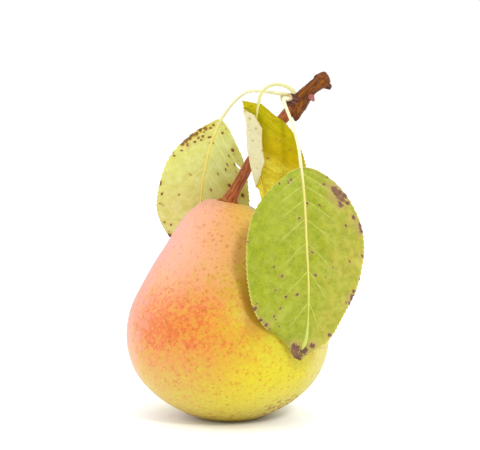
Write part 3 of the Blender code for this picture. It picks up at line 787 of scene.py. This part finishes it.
leftLeaf = {
    "midrib": (
        (-2.6, 8.6, 97.2), (-5.9, 11.8, 88.8), (-8.4, 16.0, 77.8),
        (-9.6, 21.0, 67.8), (-11.2, 27.6, 54.8), (-13.9, 34.2, 42.2),
    ),
    "faces": ((0.0, -1.0, 0.25), (-0.12, -1.0, 0.30)),
    "edges": (
        ((0.0, bluntEnd), (0.03, 2.6), (0.16, 8.8), (0.26, 12.3), (0.37, 14.1),
         (0.50, 14.9), (0.60, 14.2), (0.72, 11.4), (0.86, 6.2), (1.0, bluntEnd)),
        ((0.0, bluntEnd), (0.03, 4.6), (0.10, 9.4), (0.18, 12.4), (0.27, 14.6),
         (0.38, 16.3), (0.50, 16.9), (0.62, 15.6), (0.76, 11.6), (0.90, 5.2),
         (1.0, bluntEnd)),
    ),
    "fold": (14, 12),
    "curl": (-10, -16),
    "curlSpans": ((0.0, 0.2, 1.0), (1.0, 0.2, 1.0)),
    "curlAlong": (0.0, 0.3, 0.86, 0.99),
    "wave": (0.5, 2.0, 1.2),
    "petiole": (
        (20.8, -8.4, 105.4, 0.9), (19.2, -8.2, 105.9, 0.74), (17.3, -8.1, 106.3, 0.6),
        (13.6, -6.4, 106.7, 0.5), (9.6, -3.2, 107.1, 0.46), (5.6, 1.2, 106.4, 0.46),
        (1.4, 5.2, 102.8, 0.47), (-2.35, 8.35, 97.7, 0.52),
    ),
    "ribRadii": ((0.0, 0.52), (0.3, 0.46), (0.7, 0.34), (0.97, 0.22)),
    "veinRows": (0.08, 0.20, 0.32, 0.44, 0.56, 0.68, 0.80),
    "veinReach": (0.80, 0.80),
    "teeth": 38,
    "quilt": 0.12,
    "flutter": 0.3,
    "spots": (
        (-7.5, 94.5, 0.8), (-9.4, 94.0, 0.8), (-10.6, 92.6, 0.8), (-12.0, 92.4, 0.9),
        (-12.9, 91.2, 0.8), (-14.3, 90.4, 0.9), (-15.3, 89.2, 0.8), (-13.5, 88.9, 0.7),
        (-16.2, 89.2, 0.6), (-8.5, 91.8, 0.6), (-9.0, 90.6, 0.5), (-5.9, 94.6, 0.6),
        (-11.2, 89.9, 0.5), (-4.9, 95.6, 0.5), (-6.3, 91.4, 0.6), (-5.1, 91.0, 0.4),
        (-5.9, 89.4, 0.5), (-15.5, 86.9, 0.45), (-8.0, 93.0, 0.6), (-10.0, 91.2, 0.5),
        (-18.5, 86.0, 0.5), (-22.9, 75.7, 0.6), (-22.9, 68.4, 0.5), (-20.3, 56.9, 1.0),
        (-21.9, 61.9, 0.45), (-19.7, 61.0, 0.5), (1.4, 87.3, 0.6), (0.2, 85.2, 0.4),
        (0.4, 75.0, 0.8), (-0.2, 73.0, 0.6), (2.4, 71.3, 0.8), (4.6, 71.9, 0.7),
        (4.1, 78.3, 0.5), (1.9, 82.3, 0.5), (-0.4, 82.3, 0.4), (-0.9, 80.6, 0.4),
        (-5.9, 73.5, 0.5), (-3.6, 79.0, 0.45), (-1.9, 92.9, 0.5), (-13.9, 42.2, 2.0),
    ),
    "specks": (30, 0.28),
    "tear": (1, 0.195, 0.64, 0.95),  # side, row, from and to out from the midrib
    # on this leaf the warm colour is darker than the main one: painted shade on one half of the
    # folded blade
    "main": tint(217, 221, 122), "start": tint(213, 208, 36), "end": tint(234, 232, 158),
    "warm": tint(182, 186, 96), "pale": tint(230, 236, 172), "net": tint(208, 212, 118),
    "under": tint(204, 202, 142), "spot": tint(94, 62, 44), "halo": tint(206, 160, 62),
    "edge": tint(214, 206, 110), "vein": tint(234, 230, 150), "rib": tint(232, 220, 108),
    "ribEnd": tint(226, 214, 112), "warmAndShadedHalf": (0.46, 0.60), "roughness": 0.6,
    "shine": 0.2, "deep": tint(198, 196, 90), "endFrom": (0.30, 0.70),
    "startTo": (0.02, 0.34), "stem": tint(224, 220, 168), "ribRun": (36, 48),
}

middleLeaf = {
    "midrib": (
        (9.7, -9.4, 103.2), (8.9, -10.0, 98.8), (8.7, -10.2, 91.6),
        (10.0, -10.3, 82.8), (13.0, -11.0, 72.8), (18.6, -13.2, 59.6),
    ),
    "faces": ((-0.05, -1.0, 0.20), (-0.10, -1.0, 0.05)),
    "edges": (
        ((0.0, 5.3), (0.045, 4.6), (0.067, 5.7), (0.085, 8.2), (0.12, 10.0),
         (0.17, 10.4), (0.30, 9.0), (0.42, 8.8), (0.505, 6.1), (0.55, 4.1),
         (0.572, 3.0), (0.60, 2.1), (0.66, 2.3), (0.80, 2.6), (0.92, 1.9),
         (1.0, bluntEnd)),
        ((0.0, bluntEnd), (0.05, 5.2), (0.14, 10.4), (0.24, 13.0), (0.36, 14.2),
         (0.46, 14.7), (0.58, 14.2), (0.75, 10.6), (0.90, 4.8), (1.0, bluntEnd)),
    ),
    "fold": (0, 6),
    "curl": (160, -8),
    # where across the blade the roll begins and ends, by the share of the length
    "curlSpans": (
        (0.0, 1.0, 1.2), (0.045, 1.0, 1.2), (0.067, 0.66, 0.84), (0.085, 0.42, 0.58),
        (0.17, 0.20, 0.50), (0.42, 0.19, 0.49), (0.505, 0.31, 0.62), (0.55, 0.50, 0.80),
        (0.572, 0.74, 1.10), (0.59, 1.0, 1.4), (1.0, 1.0, 1.4),
    ),
    "curlAlong": (-0.2, -0.1, 0.86, 0.99),
    "wave": (0.6, 2.0, 2.0),
    "petiole": (
        (21.9, -8.0, 104.4, 1.0), (21.1, -8.5, 105.9, 0.84), (20.4, -8.9, 107.5, 0.66),
        (18.3, -9.2, 108.8, 0.52), (15.2, -9.4, 109.4, 0.47), (12.0, -9.4, 108.2, 0.46),
        (10.2, -9.4, 105.8, 0.47), (9.75, -9.4, 103.75, 0.52),
    ),
    "ribRadii": ((0.0, 0.50), (0.3, 0.40), (0.7, 0.30), (0.97, 0.22)),
    "veinRows": (0.09, 0.21, 0.33, 0.45, 0.57, 0.69, 0.81),
    "veinReach": (0.24, 0.84),
    "teeth": 36,
    "quilt": 0.12,
    "flutter": 0.3,
    "spots": (
        (6.8, 98.6, 0.4), (8.9, 95.5, 0.4), (7.9, 91.7, 0.3), (9.8, 93.9, 0.3),
        (10.8, 88.5, 0.3), (12.7, 85.9, 0.4), (15.0, 88.5, 0.3), (16.9, 91.7, 0.3),
        (19.7, 88.5, 0.4), (18.6, 59.6, 1.6), (5.4, 101.0, 0.4), (15.9, 97.5, 0.4),
    ),
    "specks": (24, 0.20),
    "main": tint(186, 151, 0), "start": tint(130, 146, 0), "end": tint(242, 228, 84),
    "warm": tint(192, 162, 0), "pale": tint(214, 190, 26), "net": tint(194, 168, 10),
    "under": tint(214, 208, 168), "spot": tint(120, 84, 44), "halo": tint(186, 150, 50),
    "edge": tint(196, 172, 60), "vein": tint(190, 168, 44), "rib": tint(206, 190, 80),
    "ribEnd": tint(196, 170, 30), "warmAndShadedHalf": (0.8, 1.3), "roughness": 0.5,
    "shine": 0.04, "deep": tint(172, 148, 0), "endFrom": (0.42, 0.56),
    "startTo": (0.14, 0.52), "stem": tint(216, 212, 142), "ribRun": (8, 22),
}

leaves = {"front": frontLeaf, "left": leftLeaf, "middle": middleLeaf}

bladeSettings = {
    "thickness": 0.36,
    "edgeThins": 0.45,
    "columns": 28,  # from the midrib to the edge
    "rowsPerTooth": 5,
    "toothHeight": 0.42,
    "toothBend": 1.6,
    "toothFrom": 0.86,  # teeth begin here on the way to the edge
    "toothRows": (0.0, 0.05, 0.96, 1.0),
    "flutterSize": 7.0,
    "veinStartBack": 0.15,
    "veinEndAhead": 0.11,
    "veinBend": 1.2,
    "otherSide": 1.7,
    "slices": 16,
    "veinLean": 0.16,
    "veinArch": 0.016,
    "veinProud": (0.060, 0.010),  # how far a vein stands out at its start and end
    "forkAt": 0.50,
    "forkTurn": 0.040,
    "speckSeed": 12,
    "spotReach": 2.6,  # how far the warm ring round a brown spot goes, in its radii
    "ribSteps": 60,
    "veinSteps": 18,
}


class Blade:
    # The surface of one leaf, on the same curves as its solid

    def __init__(self, leaf):
        self.leaf = leaf
        self.line = [Vector(point) for point in smoothLine(leaf["midrib"], 12)]
        self.runs = [0.0]
        for start, end in zip(self.line, self.line[1:]):
            self.runs.append(self.runs[-1] + (end - start).length)
        self.length = self.runs[-1]
        self.edges = [smoothLine(edge, 8) for edge in leaf["edges"]]

    def across(self, share):
        run = share * self.length
        index = max(i for i, reached in enumerate(self.runs[:-1]) if reached <= max(0.0, run))
        start, end = self.line[index], self.line[index + 1]
        part = (run - self.runs[index]) / (self.runs[index + 1] - self.runs[index])
        ahead = (end - start).normalized()
        first, last = (Vector(way).normalized() for way in self.leaf["faces"])
        sideways = first.lerp(last, min(1.0, max(0.0, share))).cross(ahead).normalized()
        return start.lerp(end, part), sideways, ahead.cross(sideways).normalized()

    def point(self, row, out, side, tooth=0.0):
        s, leaf = bladeSettings, self.leaf
        hump = math.sin(math.pi * row)
        root = row - s["veinStartBack"] * hump
        edge = mixed(self.edges[side][0][0], 1.0, row + s["veinEndAhead"] * hump)
        share = mixed(root, edge, out ** s["veinBend"])
        wide = valuesAt(self.edges[side], edge)[0] + tooth
        place, sideways, face = self.across(share)
        fold = math.radians(leaf["fold"][side])
        curl = math.radians(leaf["curl"][side])
        curl *= hill(leaf["curlAlong"], share)
        begin, end = valuesAt(leaf["curlSpans"], edge)
        level = rise = 0.0
        for step in range(s["slices"]):
            middle = out * (step + 0.5) / s["slices"]
            angle = fold + curl * min(1.0, max(0.0, (middle - begin) / (end - begin)))
            level += math.cos(angle) * wide * out / s["slices"]
            rise += math.sin(angle) * wide * out / s["slices"]
        high, waves, turn = leaf["wave"]
        wave = math.sin(2 * math.pi * waves * share + turn + side * s["otherSide"])
        rise += high * out ** 2 * wave
        made = place + sideways * level * (1 if side else -1) + face * rise
        flutter = leaf["flutter"] * out * noise.noise(made / s["flutterSize"])
        return made + face * flutter


def halfThick(out):
    s = bladeSettings
    return 0.5 * s["thickness"] * (1 - s["edgeThins"] * out ** 5)


def slant(row, out):
    # How far a side vein runs ahead of its row of the blade
    s = bladeSettings
    return s["veinLean"] * (1 - math.sin(math.pi * row)) * out + s["veinArch"] * math.sin(
        math.pi * out)


def quilting(leaf, row, out):
    # The blade swells between its side veins
    rows = leaf["veinRows"]
    phase = (row - slant(row, out) - rows[0]) / (rows[1] - rows[0])
    swell = math.sin(math.pi * phase) ** 2
    return leaf["quilt"] * swell * math.sin(math.pi * min(1.0, out * 1.02)) ** 0.6


def allSpots(name, leaf):
    # The marked spots and a scatter of small specks, by x and height
    count, radius = leaf["specks"]
    chance = random.Random(bladeSettings["speckSeed"] + len(name))
    blade = Blade(leaf)
    spots = list(leaf["spots"])
    for index in range(count):
        row, out, side = chance.random(), chance.random() ** 0.6, chance.randrange(2)
        point = blade.point(row, out * 0.97, side)
        spots.append((point.x, point.z, radius * (0.6 + 0.9 * chance.random())))
    return spots


def blemish(spots, point):
    # How deep the point lies in a brown spot, and how near it is to one
    worst = halo = 0.0
    for x, z, radius in spots:
        reach = radius * bladeSettings["spotReach"]
        if abs(point.x - x) > reach or abs(point.z - z) > reach:
            continue
        where = Vector((point.x, point.z, x))
        ragged = radius * (1 + 0.5 * noise.noise(where * 1.1) + 0.6 * noise.noise(where * 2.9))
        far = math.hypot(point.x - x, point.z - z)
        worst = max(worst, 1 - far / max(0.05, ragged))
        halo = max(halo, (1 - far / (radius * 2.5)) * min(1.0, radius))
    return min(1.0, worst * 2.4), min(1.0, halo * 1.4)


def tornCells(leaf, rows, columns):
    # The cells of the grid that a narrow slit right through the blade takes away
    if "tear" not in leaf:
        return set()
    side, row, begin, end = leaf["tear"]
    first = round(row * rows)
    torn = set()
    for j in range(2 * columns):
        out = (j - columns + 0.5) / columns * (1 if side else -1)
        if begin < out < end:
            torn.add((first, j))
        if begin + 0.05 < out < end - 0.05:
            torn.update(((first + 1, j), (first + 2, j)))
    return torn


def makeBlade(name, leaf, finish):
    s = bladeSettings
    blade = Blade(leaf)
    columns, teeth = s["columns"], leaf["teeth"]
    rows = teeth * s["rowsPerTooth"]
    width = 2 * columns + 1
    spots = allSpots(name, leaf)
    middle = []
    for index in range(rows + 1):
        row = index / rows
        bite = (row * teeth) % 1.0
        line = []
        for column in range(-columns, columns + 1):
            out = abs(column) / columns
            tooth = s["toothHeight"] * (bite ** s["toothBend"] - 0.5)
            tooth *= ease(s["toothFrom"], 1.0, out) * hill(s["toothRows"], row)
            line.append(blade.point(row, out, 1 if column > 0 else 0, tooth))
        middle.append(line)
    marks = [[blemish(spots, point) for point in line] for line in middle]
    points, coords, under, spoiled, halos = [], [], [], [], []
    for layer in (1, -1):
        for i, line in enumerate(middle):
            for j, point in enumerate(line):
                ahead = middle[min(rows, i + 1)][j] - middle[max(0, i - 1)][j]
                sideways = line[min(width - 1, j + 1)] - line[max(0, j - 1)]
                normal = ahead.cross(sideways).normalized()
                out = abs(j - columns) / columns
                lift = quilting(leaf, i / rows, out) + layer * halfThick(out)
                points.append((point + normal * lift + axisPlace) * mm)
                coords.append((i / rows, j / (width - 1)))
                under.append(0.0 if layer == 1 else 1.0)
                spoiled.append(marks[i][j][0])
                halos.append(marks[i][j][1])
    mesh = bpy.data.meshes.new(name)
    mesh.from_pydata(points, [], shellFaces(rows, 2 * columns, tornCells(leaf, rows, columns)))
    bladeMap = mesh.uv_layers.new(name="bladeMap")
    for loop in mesh.loops:
        bladeMap.data[loop.index].uv = coords[loop.vertex_index]
    for label, values in (("under", under), ("blemish", spoiled), ("halo", halos)):
        mesh.attributes.new(label, "FLOAT", "POINT").data.foreach_set("value", values)
    mesh.materials.append(finish)
    return newPiece(name, mesh, sharpFrom=70), blade


def ribRoute(blade, leaf):
    # The leaf stem, carried on as the midrib to the tip
    route = [tuple(point) for point in smoothLine(leaf["petiole"], 8)]
    profile = leaf["ribRadii"]
    steps = bladeSettings["ribSteps"]
    for step in range(1, steps + 1):
        share = profile[-1][0] * step / steps
        place, sideways, face = blade.across(share)
        radius = valuesAt(profile, share)[0]
        point = place + face * (0.30 * (bladeSettings["thickness"] - 0.5 * radius))
        route.append((*point, radius))
    return route


def veinRoutes(blade, leaf):
    s = bladeSettings
    routes = []
    for side in (0, 1):
        for index, row in enumerate(leaf["veinRows"]):
            wander = 0.010 * math.sin(5.0 * index + 2.0 * side)
            fork = s["forkAt"] + 0.12 * math.sin(3.1 * index + side)
            reach = leaf["veinReach"][side] * (1 + 0.09 * math.sin(2.3 * index + 4.0 * side))
            # the vein, then two branches that follow it as far as they leave it
            ways = ((1.0, reach, 0.0, 1.0), (fork, reach * 0.94, s["forkTurn"], 0.8),
                    (fork * 0.6, reach * 0.8, -s["forkTurn"], 0.7))
            for leaves, end, turn, share in ways:
                route = []
                for step in range(s["veinSteps"] + 1):
                    part = step / s["veinSteps"]
                    out = end * part
                    away = max(0.0, out - leaves) / max(0.1, end - leaves)
                    at = row + slant(row, out) + wander * out + turn * away
                    if not 0.004 < at < 0.985:
                        continue
                    point = blade.point(at, out, side)
                    ahead = (blade.point(at + 0.004, out, side)
                             - blade.point(at - 0.004, out, side))
                    sideways = blade.point(at, out + 0.01, side) - point
                    normal = ahead.cross(sideways).normalized() * (1 if side else -1)
                    lift = quilting(leaf, at, out)
                    proud, flat = s["veinProud"]
                    radius = halfThick(out) + mixed(proud, flat, part) * share
                    route.append((*(point + normal * lift), radius))
                if len(route) > 6:
                    routes.append(route)
    return routes


def makeLeafFinish(name):
    s = leaves[name]
    finish, place = newFinish(name + "Leaf", s["shine"])
    along, across, _ = split(addNode(place.tree, "ShaderNodeUVMap", uv_map="bladeMap"))
    broad = effect(mottle, place, Size=8.0, Detail=3.0, Contrast=0.5)
    patchy = effect(mottle, place, Size=4.0, Detail=3.0, Contrast=0.6, Seed=40.0)
    uneven = effect(mottle, place, Size=2.6, Detail=4.0, Contrast=0.7, Seed=70.0)
    fine = effect(mottle, place, Size=1.4, Detail=3.0, Contrast=0.5, Seed=12.0)
    colour = blend(eased(along, *s["startTo"]), s["start"], s["main"])
    colour = blend(eased(along, *s["endFrom"]), colour, s["end"])
    # one half of the blade takes the warm colour; on the left leaf it is darker, painted shade of
    # that half
    colour = blend(eased(across, *s["warmAndShadedHalf"]) * (broad * 0.6 + 0.35), colour, s["warm"])
    colour = blend(patchy * 0.6, colour, s["pale"])
    colour = blend(uneven * 0.6, colour, s["deep"])
    large = effect(fineNet, place, Size=1.9, Line=0.08)
    small = effect(fineNet, place, Size=0.7, Line=0.14)
    net = larger(large, small * 0.6)
    colour = blend(net * 0.55, colour, s["net"])
    below = attribute(place, "under")
    pale = blend(larger(large, fine) * 0.22, s["under"], s["main"])
    colour = blend(below, colour, pale)
    rim = eased(calc("ABSOLUTE", across * 2.0 - 1.0), 0.968, 1.0)
    colour = blend(rim * 0.8, colour, s["edge"])

    # brown spots, each with a warm ring round it
    halo = attribute(place, "halo") * (patchy * 0.5 + 0.6)
    colour = blend(halo * 0.75, colour, s["halo"])
    ragged = fine * 0.6 + attribute(place, "blemish") * 1.5
    brown = eased(ragged, 0.70, 1.15) * (below * -0.55 + 1.0)
    shade = blend(patchy * 0.3, s["spot"], s["halo"])
    colour = blend(brown * 0.95, colour, shade)
    return dress(finish, colour, fine * 0.5 - (net * 0.8 + brown * 0.5), depth=0.05,
                 strength=0.6, roughness=brown * 0.25 + s["roughness"])


def makeVeinFinish(name):
    s = leaves[name]
    finish, place = newFinish(name + "Vein", s["shine"], s["roughness"])
    fine = effect(mottle, place, Size=1.6, Detail=2.0, Contrast=0.5, Seed=3.0)
    along = split(attribute(place, "pathCoords", "Vector"))[2]
    faded = larger(fine * 0.6, eased(along, 3.0, 15.0, 0.1, 0.9))
    return dress(finish, blend(faded, s["vein"], s["main"]), fine, depth=0.03, strength=0.4)


stemSettings = {
    "green": tint(206, 202, 122),
    "brown": tint(168, 120, 74),
    "shine": 0.4,
    "roughness": 0.45,
    "toRib": (-5, 9),  # where the stem's colour turns to the midrib's, from its end
    "steps": 190,
    "sides": 20,
    "veinSides": 8,
    "relief": {"Ridge Count": 1.0, "Ridge Height": 0.05, "Ridge Length": 40.0,
               "Lump Size": 6.0, "Lump Height": 0.04, "Seed": 2.0},
}


def makeStemFinish(name):
    s, leaf, petiole = stemSettings, leaves[name], leaves[name]["petiole"]
    finish, place = newFinish(name + "Stem", s["shine"], s["roughness"])
    path = attribute(place, "pathCoords", "Vector")
    along = split(path)[2]
    streaks = effect(mottle, vectorCalc("MULTIPLY", path, (1.4, 1.4, 0.08)),
                     Size=1.0, Detail=3.0, Contrast=0.5)
    colour = blend(streaks * 0.35, leaf["stem"], s["green"])
    length = sum((Vector(b[:3]) - Vector(a[:3])).length for a, b in zip(petiole, petiole[1:]))
    for (begin, end), shade in ((s["toRib"], "rib"), (leaf["ribRun"], "ribEnd")):
        colour = blend(eased(along, length + begin, length + end), colour, leaf[shade])
    colour = blend(eased(along, 2.6, 0.6) * 0.7, colour, s["brown"])
    return dress(finish, colour, streaks, depth=0.05, strength=0.5)


def makeLeaves():
    s = stemSettings
    for name, leaf in leaves.items():
        piece, blade = makeBlade(name + "Blade", leaf, makeLeafFinish(name))
        settle(piece, "leaf_" + name)
        stem = grow(name + "Stem", pathTree, lineMesh(name, [ribRoute(blade, leaf)]), {
            "Steps": s["steps"], "Sides": s["sides"], **s["relief"],
            "Finish": makeStemFinish(name),
        })
        settle(stem, "petiole_" + name)
        veins = grow(name + "Veins", pathTree, lineMesh(name, veinRoutes(blade, leaf)), {
            "Steps": bladeSettings["veinSteps"], "Sides": s["veinSides"],
            "Finish": makeVeinFinish(name),
        })
        settle(veins, "leaf_" + name)
        print("leaf", name, len(piece.data.polygons), "faces in its blade")


makeLeaves()


# Calyx and bud

calyxSettings = {
    "top": 3.9,
    # length, width, thickness and cup of one scale, and how they stand in their ring
    "sepal": (3.6, 1.9, 0.3, 0.35),
    "sepalRing": {"Count": 5, "Radius": 0.7, "Tilt": math.radians(52), "Height": 0.2,
                  "Turn": 0.3, "Uneven": 0.14, "Seed": 5},
    "stamen": (1.7, 0.22, 0.16, 0.2),
    "stamenRing": {"Count": 14, "Radius": 0.6, "Tilt": 0.35, "Height": -0.1, "Turn": 0.0,
                   "Uneven": 0.3, "Seed": 8},
    "colour": tint(78, 52, 34),
    "light": tint(126, 92, 60),
}

budSettings = {
    "place": (26.6, -9.9, 105.2),
    "pointsTo": (0.55, -0.35, -0.75),
    "length": 2.7,
    "radius": 0.95,
    "core": 0.86,  # share of the radius
    "scales": 5,
    "tiers": 3,
    "firstTier": -0.42,  # heights as shares of the length
    "tierStep": 0.24,
    "scaleSize": (0.5, 1.3, 0.16, 0.28),
    "colour": tint(120, 50, 48),
    "light": tint(196, 124, 112),
}


def makeRingTree():
    # Puts copies of a piece round an axis, each a little different
    tree, source, output = shapeTree("repeatRound", [
        ("Count", "Int", 5), ("Radius", "Float", 0.5), ("Tilt", "Float", 0.6),
        ("Height", "Float", 0.0), ("Turn", "Float", 0.0), ("Uneven", "Float", 0.2),
        ("Seed", "Int", 1),
    ])
    points = addNode(tree, "GeometryNodePoints", {"Count": source["Count"]})
    index = addNode(tree, "GeometryNodeInputIndex")
    angle = (index + source["Turn"]) / source["Count"] * (2 * math.pi)
    spot = combine(calc("COSINE", angle) * source["Radius"],
                   calc("SINE", angle) * source["Radius"], source["Height"])
    placed = addNode(tree, "GeometryNodeSetPosition",
                     {"Geometry": points, "Position": scaled(spot, mm)})
    chance = addNode(tree, "FunctionNodeRandomValue", {
        2: source["Uneven"] * -1.0, 3: source["Uneven"], "Seed": source["Seed"],
    }, 1, data_type="FLOAT")
    turn = addNode(tree, "FunctionNodeEulerToRotation",
                   {"Euler": combine(0.0, source["Tilt"] + chance, angle)})
    copies = addNode(tree, "GeometryNodeInstanceOnPoints", {
        "Points": placed, "Instance": source["Geometry"], "Rotation": turn,
        "Scale": scaled((1.0, 1.0, 1.0), chance + 1.0),
    })
    return endTree(tree, source, copies, output)


def scaleMesh(name, length, width, thickness, cup):
    # One pointed dry scale or sepal that grows along +Z and cups towards +X
    mesh = bpy.data.meshes.new(name)
    across, along = 6, 8
    points = []
    for layer in (1, -1):
        for i in range(along + 1):
            up = i / along
            half = 0.5 * width * math.sin(math.pi * (0.18 + 0.82 * up)) ** 0.8 + 0.03
            for j in range(across + 1):
                side = 2 * j / across - 1
                depth = layer * 0.5 * thickness * (1 - 0.6 * abs(side))
                bow = cup * (1 - side * side) + 0.25 * cup * math.sin(9.0 * up)
                points.append(((bow + depth) * mm, side * half * mm, up * length * mm))
    mesh.from_pydata(points, [], shellFaces(along, across))
    return mesh


def makeDryFinish(name, s):
    finish, place = newFinish(name, shine=0.3)
    patches = effect(mottle, place, Size=0.7, Detail=4.0, Contrast=0.5)
    return dress(finish, blend(patches, s["colour"], s["light"]), patches, depth=0.06,
                 strength=0.7, roughness=patches * 0.2 + 0.6)


def moveTo(piece, matrix):
    piece.data.transform(matrix)
    piece.data.update()


def makeCalyxAndBud():
    ring = makeRingTree()
    s = calyxSettings
    dry = makeDryFinish("dryCalyx", s)
    up = Matrix.Translation((axisPlace + Vector((0, 0, s["top"]))) * mm)
    down = up @ Matrix.Rotation(math.pi, 4, "X")
    for name in ("sepal", "stamen"):
        piece = grow("calyx" + name.capitalize() + "s", ring, scaleMesh(name, *s[name]),
                     {**s[name + "Ring"], "Finish": dry})
        moveTo(piece, down)
        settle(piece, "calyx")

    b = budSettings
    scaly = makeDryFinish("budScales", b)
    turn = Vector(b["pointsTo"]).to_track_quat("Z", "Y").to_matrix().to_4x4()
    spot = Matrix.Translation((Vector(b["place"]) + axisPlace) * mm)
    core = bmesh.new()
    bmesh.ops.create_uvsphere(core, u_segments=24, v_segments=16,
                              radius=b["radius"] * b["core"] * mm)
    core.transform(Matrix.Diagonal((1, 1, b["length"] / (2 * b["radius"]), 1)))
    coreMesh = bpy.data.meshes.new("budCore")
    core.to_mesh(coreMesh)
    core.free()
    coreMesh.materials.append(scaly)
    parts = [newPiece("budCore", coreMesh)]
    long, wide, thick, cup = b["scaleSize"]
    for tier in range(b["tiers"]):
        scale = scaleMesh("budScale", b["length"] * long, b["radius"] * wide, thick, cup)
        parts.append(grow(f"budScales{tier + 1}", ring, scale, {
            "Count": b["scales"], "Radius": b["radius"] * (0.80 - 0.20 * tier),
            "Tilt": -0.12 - 0.22 * tier, "Turn": 0.5 * tier, "Uneven": 0.06,
            "Height": b["length"] * (b["firstTier"] + b["tierStep"] * tier),
            "Seed": 20 + tier, "Finish": scaly,
        }))
    for part in parts:
        moveTo(part, spot @ turn)
        settle(part, "bud")


makeCalyxAndBud()
print("calyx and bud done")


# Floor, light and camera

studioSettings = {
    "floorSize": 4.0,
    "floorColour": (0.93, 0.94, 0.97, 1.0),
    "floorGlow": 0.24,  # painted light: the floor glows from 11 mm out from the pear's axis, lifting the pear's cast shadow so that only the contact shadow shows
    # a bluish glow, painted light that offsets the yellow light the pear throws on the floor
    "glowColour": (0.86, 0.94, 1.0, 1.0),
    "glowFrom": 11.0,  # millimetres from the pear's axis
    "glowTo": 36.0,
    "sky": 0.725,
    "backdrop": 1.04,
    "sunFrom": (0.39, -0.80, 0.70),
    "sunPower": 1.24,
    "sunAngle": 10,  # degrees across, for soft shadow edges
    # name, place in metres, size, power in watts, colour
    "lights": (
        ("leftLight", (-0.75, 0.10, 0.35), 0.60, 3.0, (1.0, 1.0, 1.0)),
        ("rightLight", (0.62, -0.20, 0.55), 0.50, 1.4, (0.82, 0.93, 1.0)),
        ("topLight", (-0.1, 0.10, 0.90), 0.60, 1.0, (1.0, 1.0, 1.0)),
    ),
    "aim": (-0.0012, 0.0, 0.058),
}

cameraSettings = {
    "target": (3.757, 0.0, 63.3),
    "distance": 600.0,
    "elevation": 6.0,
    "lens": 137.741,
    "sensor": 36.0,
}


def makeStudio():
    s = studioSettings
    half = s["floorSize"] / 2
    mesh = bpy.data.meshes.new("floor")
    mesh.from_pydata([(-half, -half, 0), (half, -half, 0), (half, half, 0), (-half, half, 0)],
                     [], [(0, 1, 2, 3)])
    floor = bpy.data.objects.new("floor", mesh)
    bpy.context.scene.collection.objects.link(floor)
    paper, place = newFinish("paleFloor", roughness=0.9)
    shader = paper.node_tree.nodes["Principled BSDF"]
    shader.inputs["Base Color"].default_value = s["floorColour"]
    shader.inputs["Emission Strength"].default_value = s["floorGlow"]
    # painted light: the floor's glow rises with the distance from the pear's axis
    away = eased(vectorCalc("LENGTH", place), s["glowFrom"], s["glowTo"])
    plug(shader.inputs["Emission Color"], blend(away, (0, 0, 0, 1), s["glowColour"]))
    mesh.materials.append(paper)

    world = bpy.data.worlds.new("studio")
    world.use_nodes = True
    sky = world.node_tree.nodes["Background"]
    seen = addNode(world.node_tree, "ShaderNodeLightPath", output="Is Camera Ray")
    sky.inputs["Color"].default_value = (1, 1, 1, 1)
    plug(sky.inputs["Strength"], seen * (s["backdrop"] - s["sky"]) + s["sky"])
    bpy.context.scene.world = world

    lamps = []
    for name, stand, size, power, colour in s["lights"]:
        data = bpy.data.lights.new(name, "AREA")
        data.size = size
        data.energy = power
        data.color = colour
        lamps.append((name, data, Vector(stand), Vector(s["aim"])))
    sun = bpy.data.lights.new("keyLight", "SUN")
    sun.energy = s["sunPower"]
    sun.angle = math.radians(s["sunAngle"])
    lamps.append(("keyLight", sun, Vector(s["sunFrom"]), Vector((0, 0, 0))))
    for name, data, stand, aim in lamps:
        lamp = bpy.data.objects.new(name, data)
        lamp.location = stand
        lamp.rotation_euler = (aim - stand).to_track_quat("-Z", "Y").to_euler()
        bpy.context.scene.collection.objects.link(lamp)


def makeCamera():
    s = cameraSettings
    tilt = math.radians(s["elevation"])
    back = Vector((0, -math.cos(tilt), math.sin(tilt)))
    data = bpy.data.cameras.new("camera")
    data.lens = s["lens"]
    data.sensor_width = s["sensor"]
    camera = bpy.data.objects.new("camera", data)
    camera.location = (Vector(s["target"]) + axisPlace + back * s["distance"]) * mm
    camera.rotation_euler = (-back).to_track_quat("-Z", "Y").to_euler()
    bpy.context.scene.collection.objects.link(camera)
    bpy.context.scene.camera = camera


makeStudio()
makeCamera()
bpy.context.scene.view_settings.view_transform = "Standard"

print("scene ready")
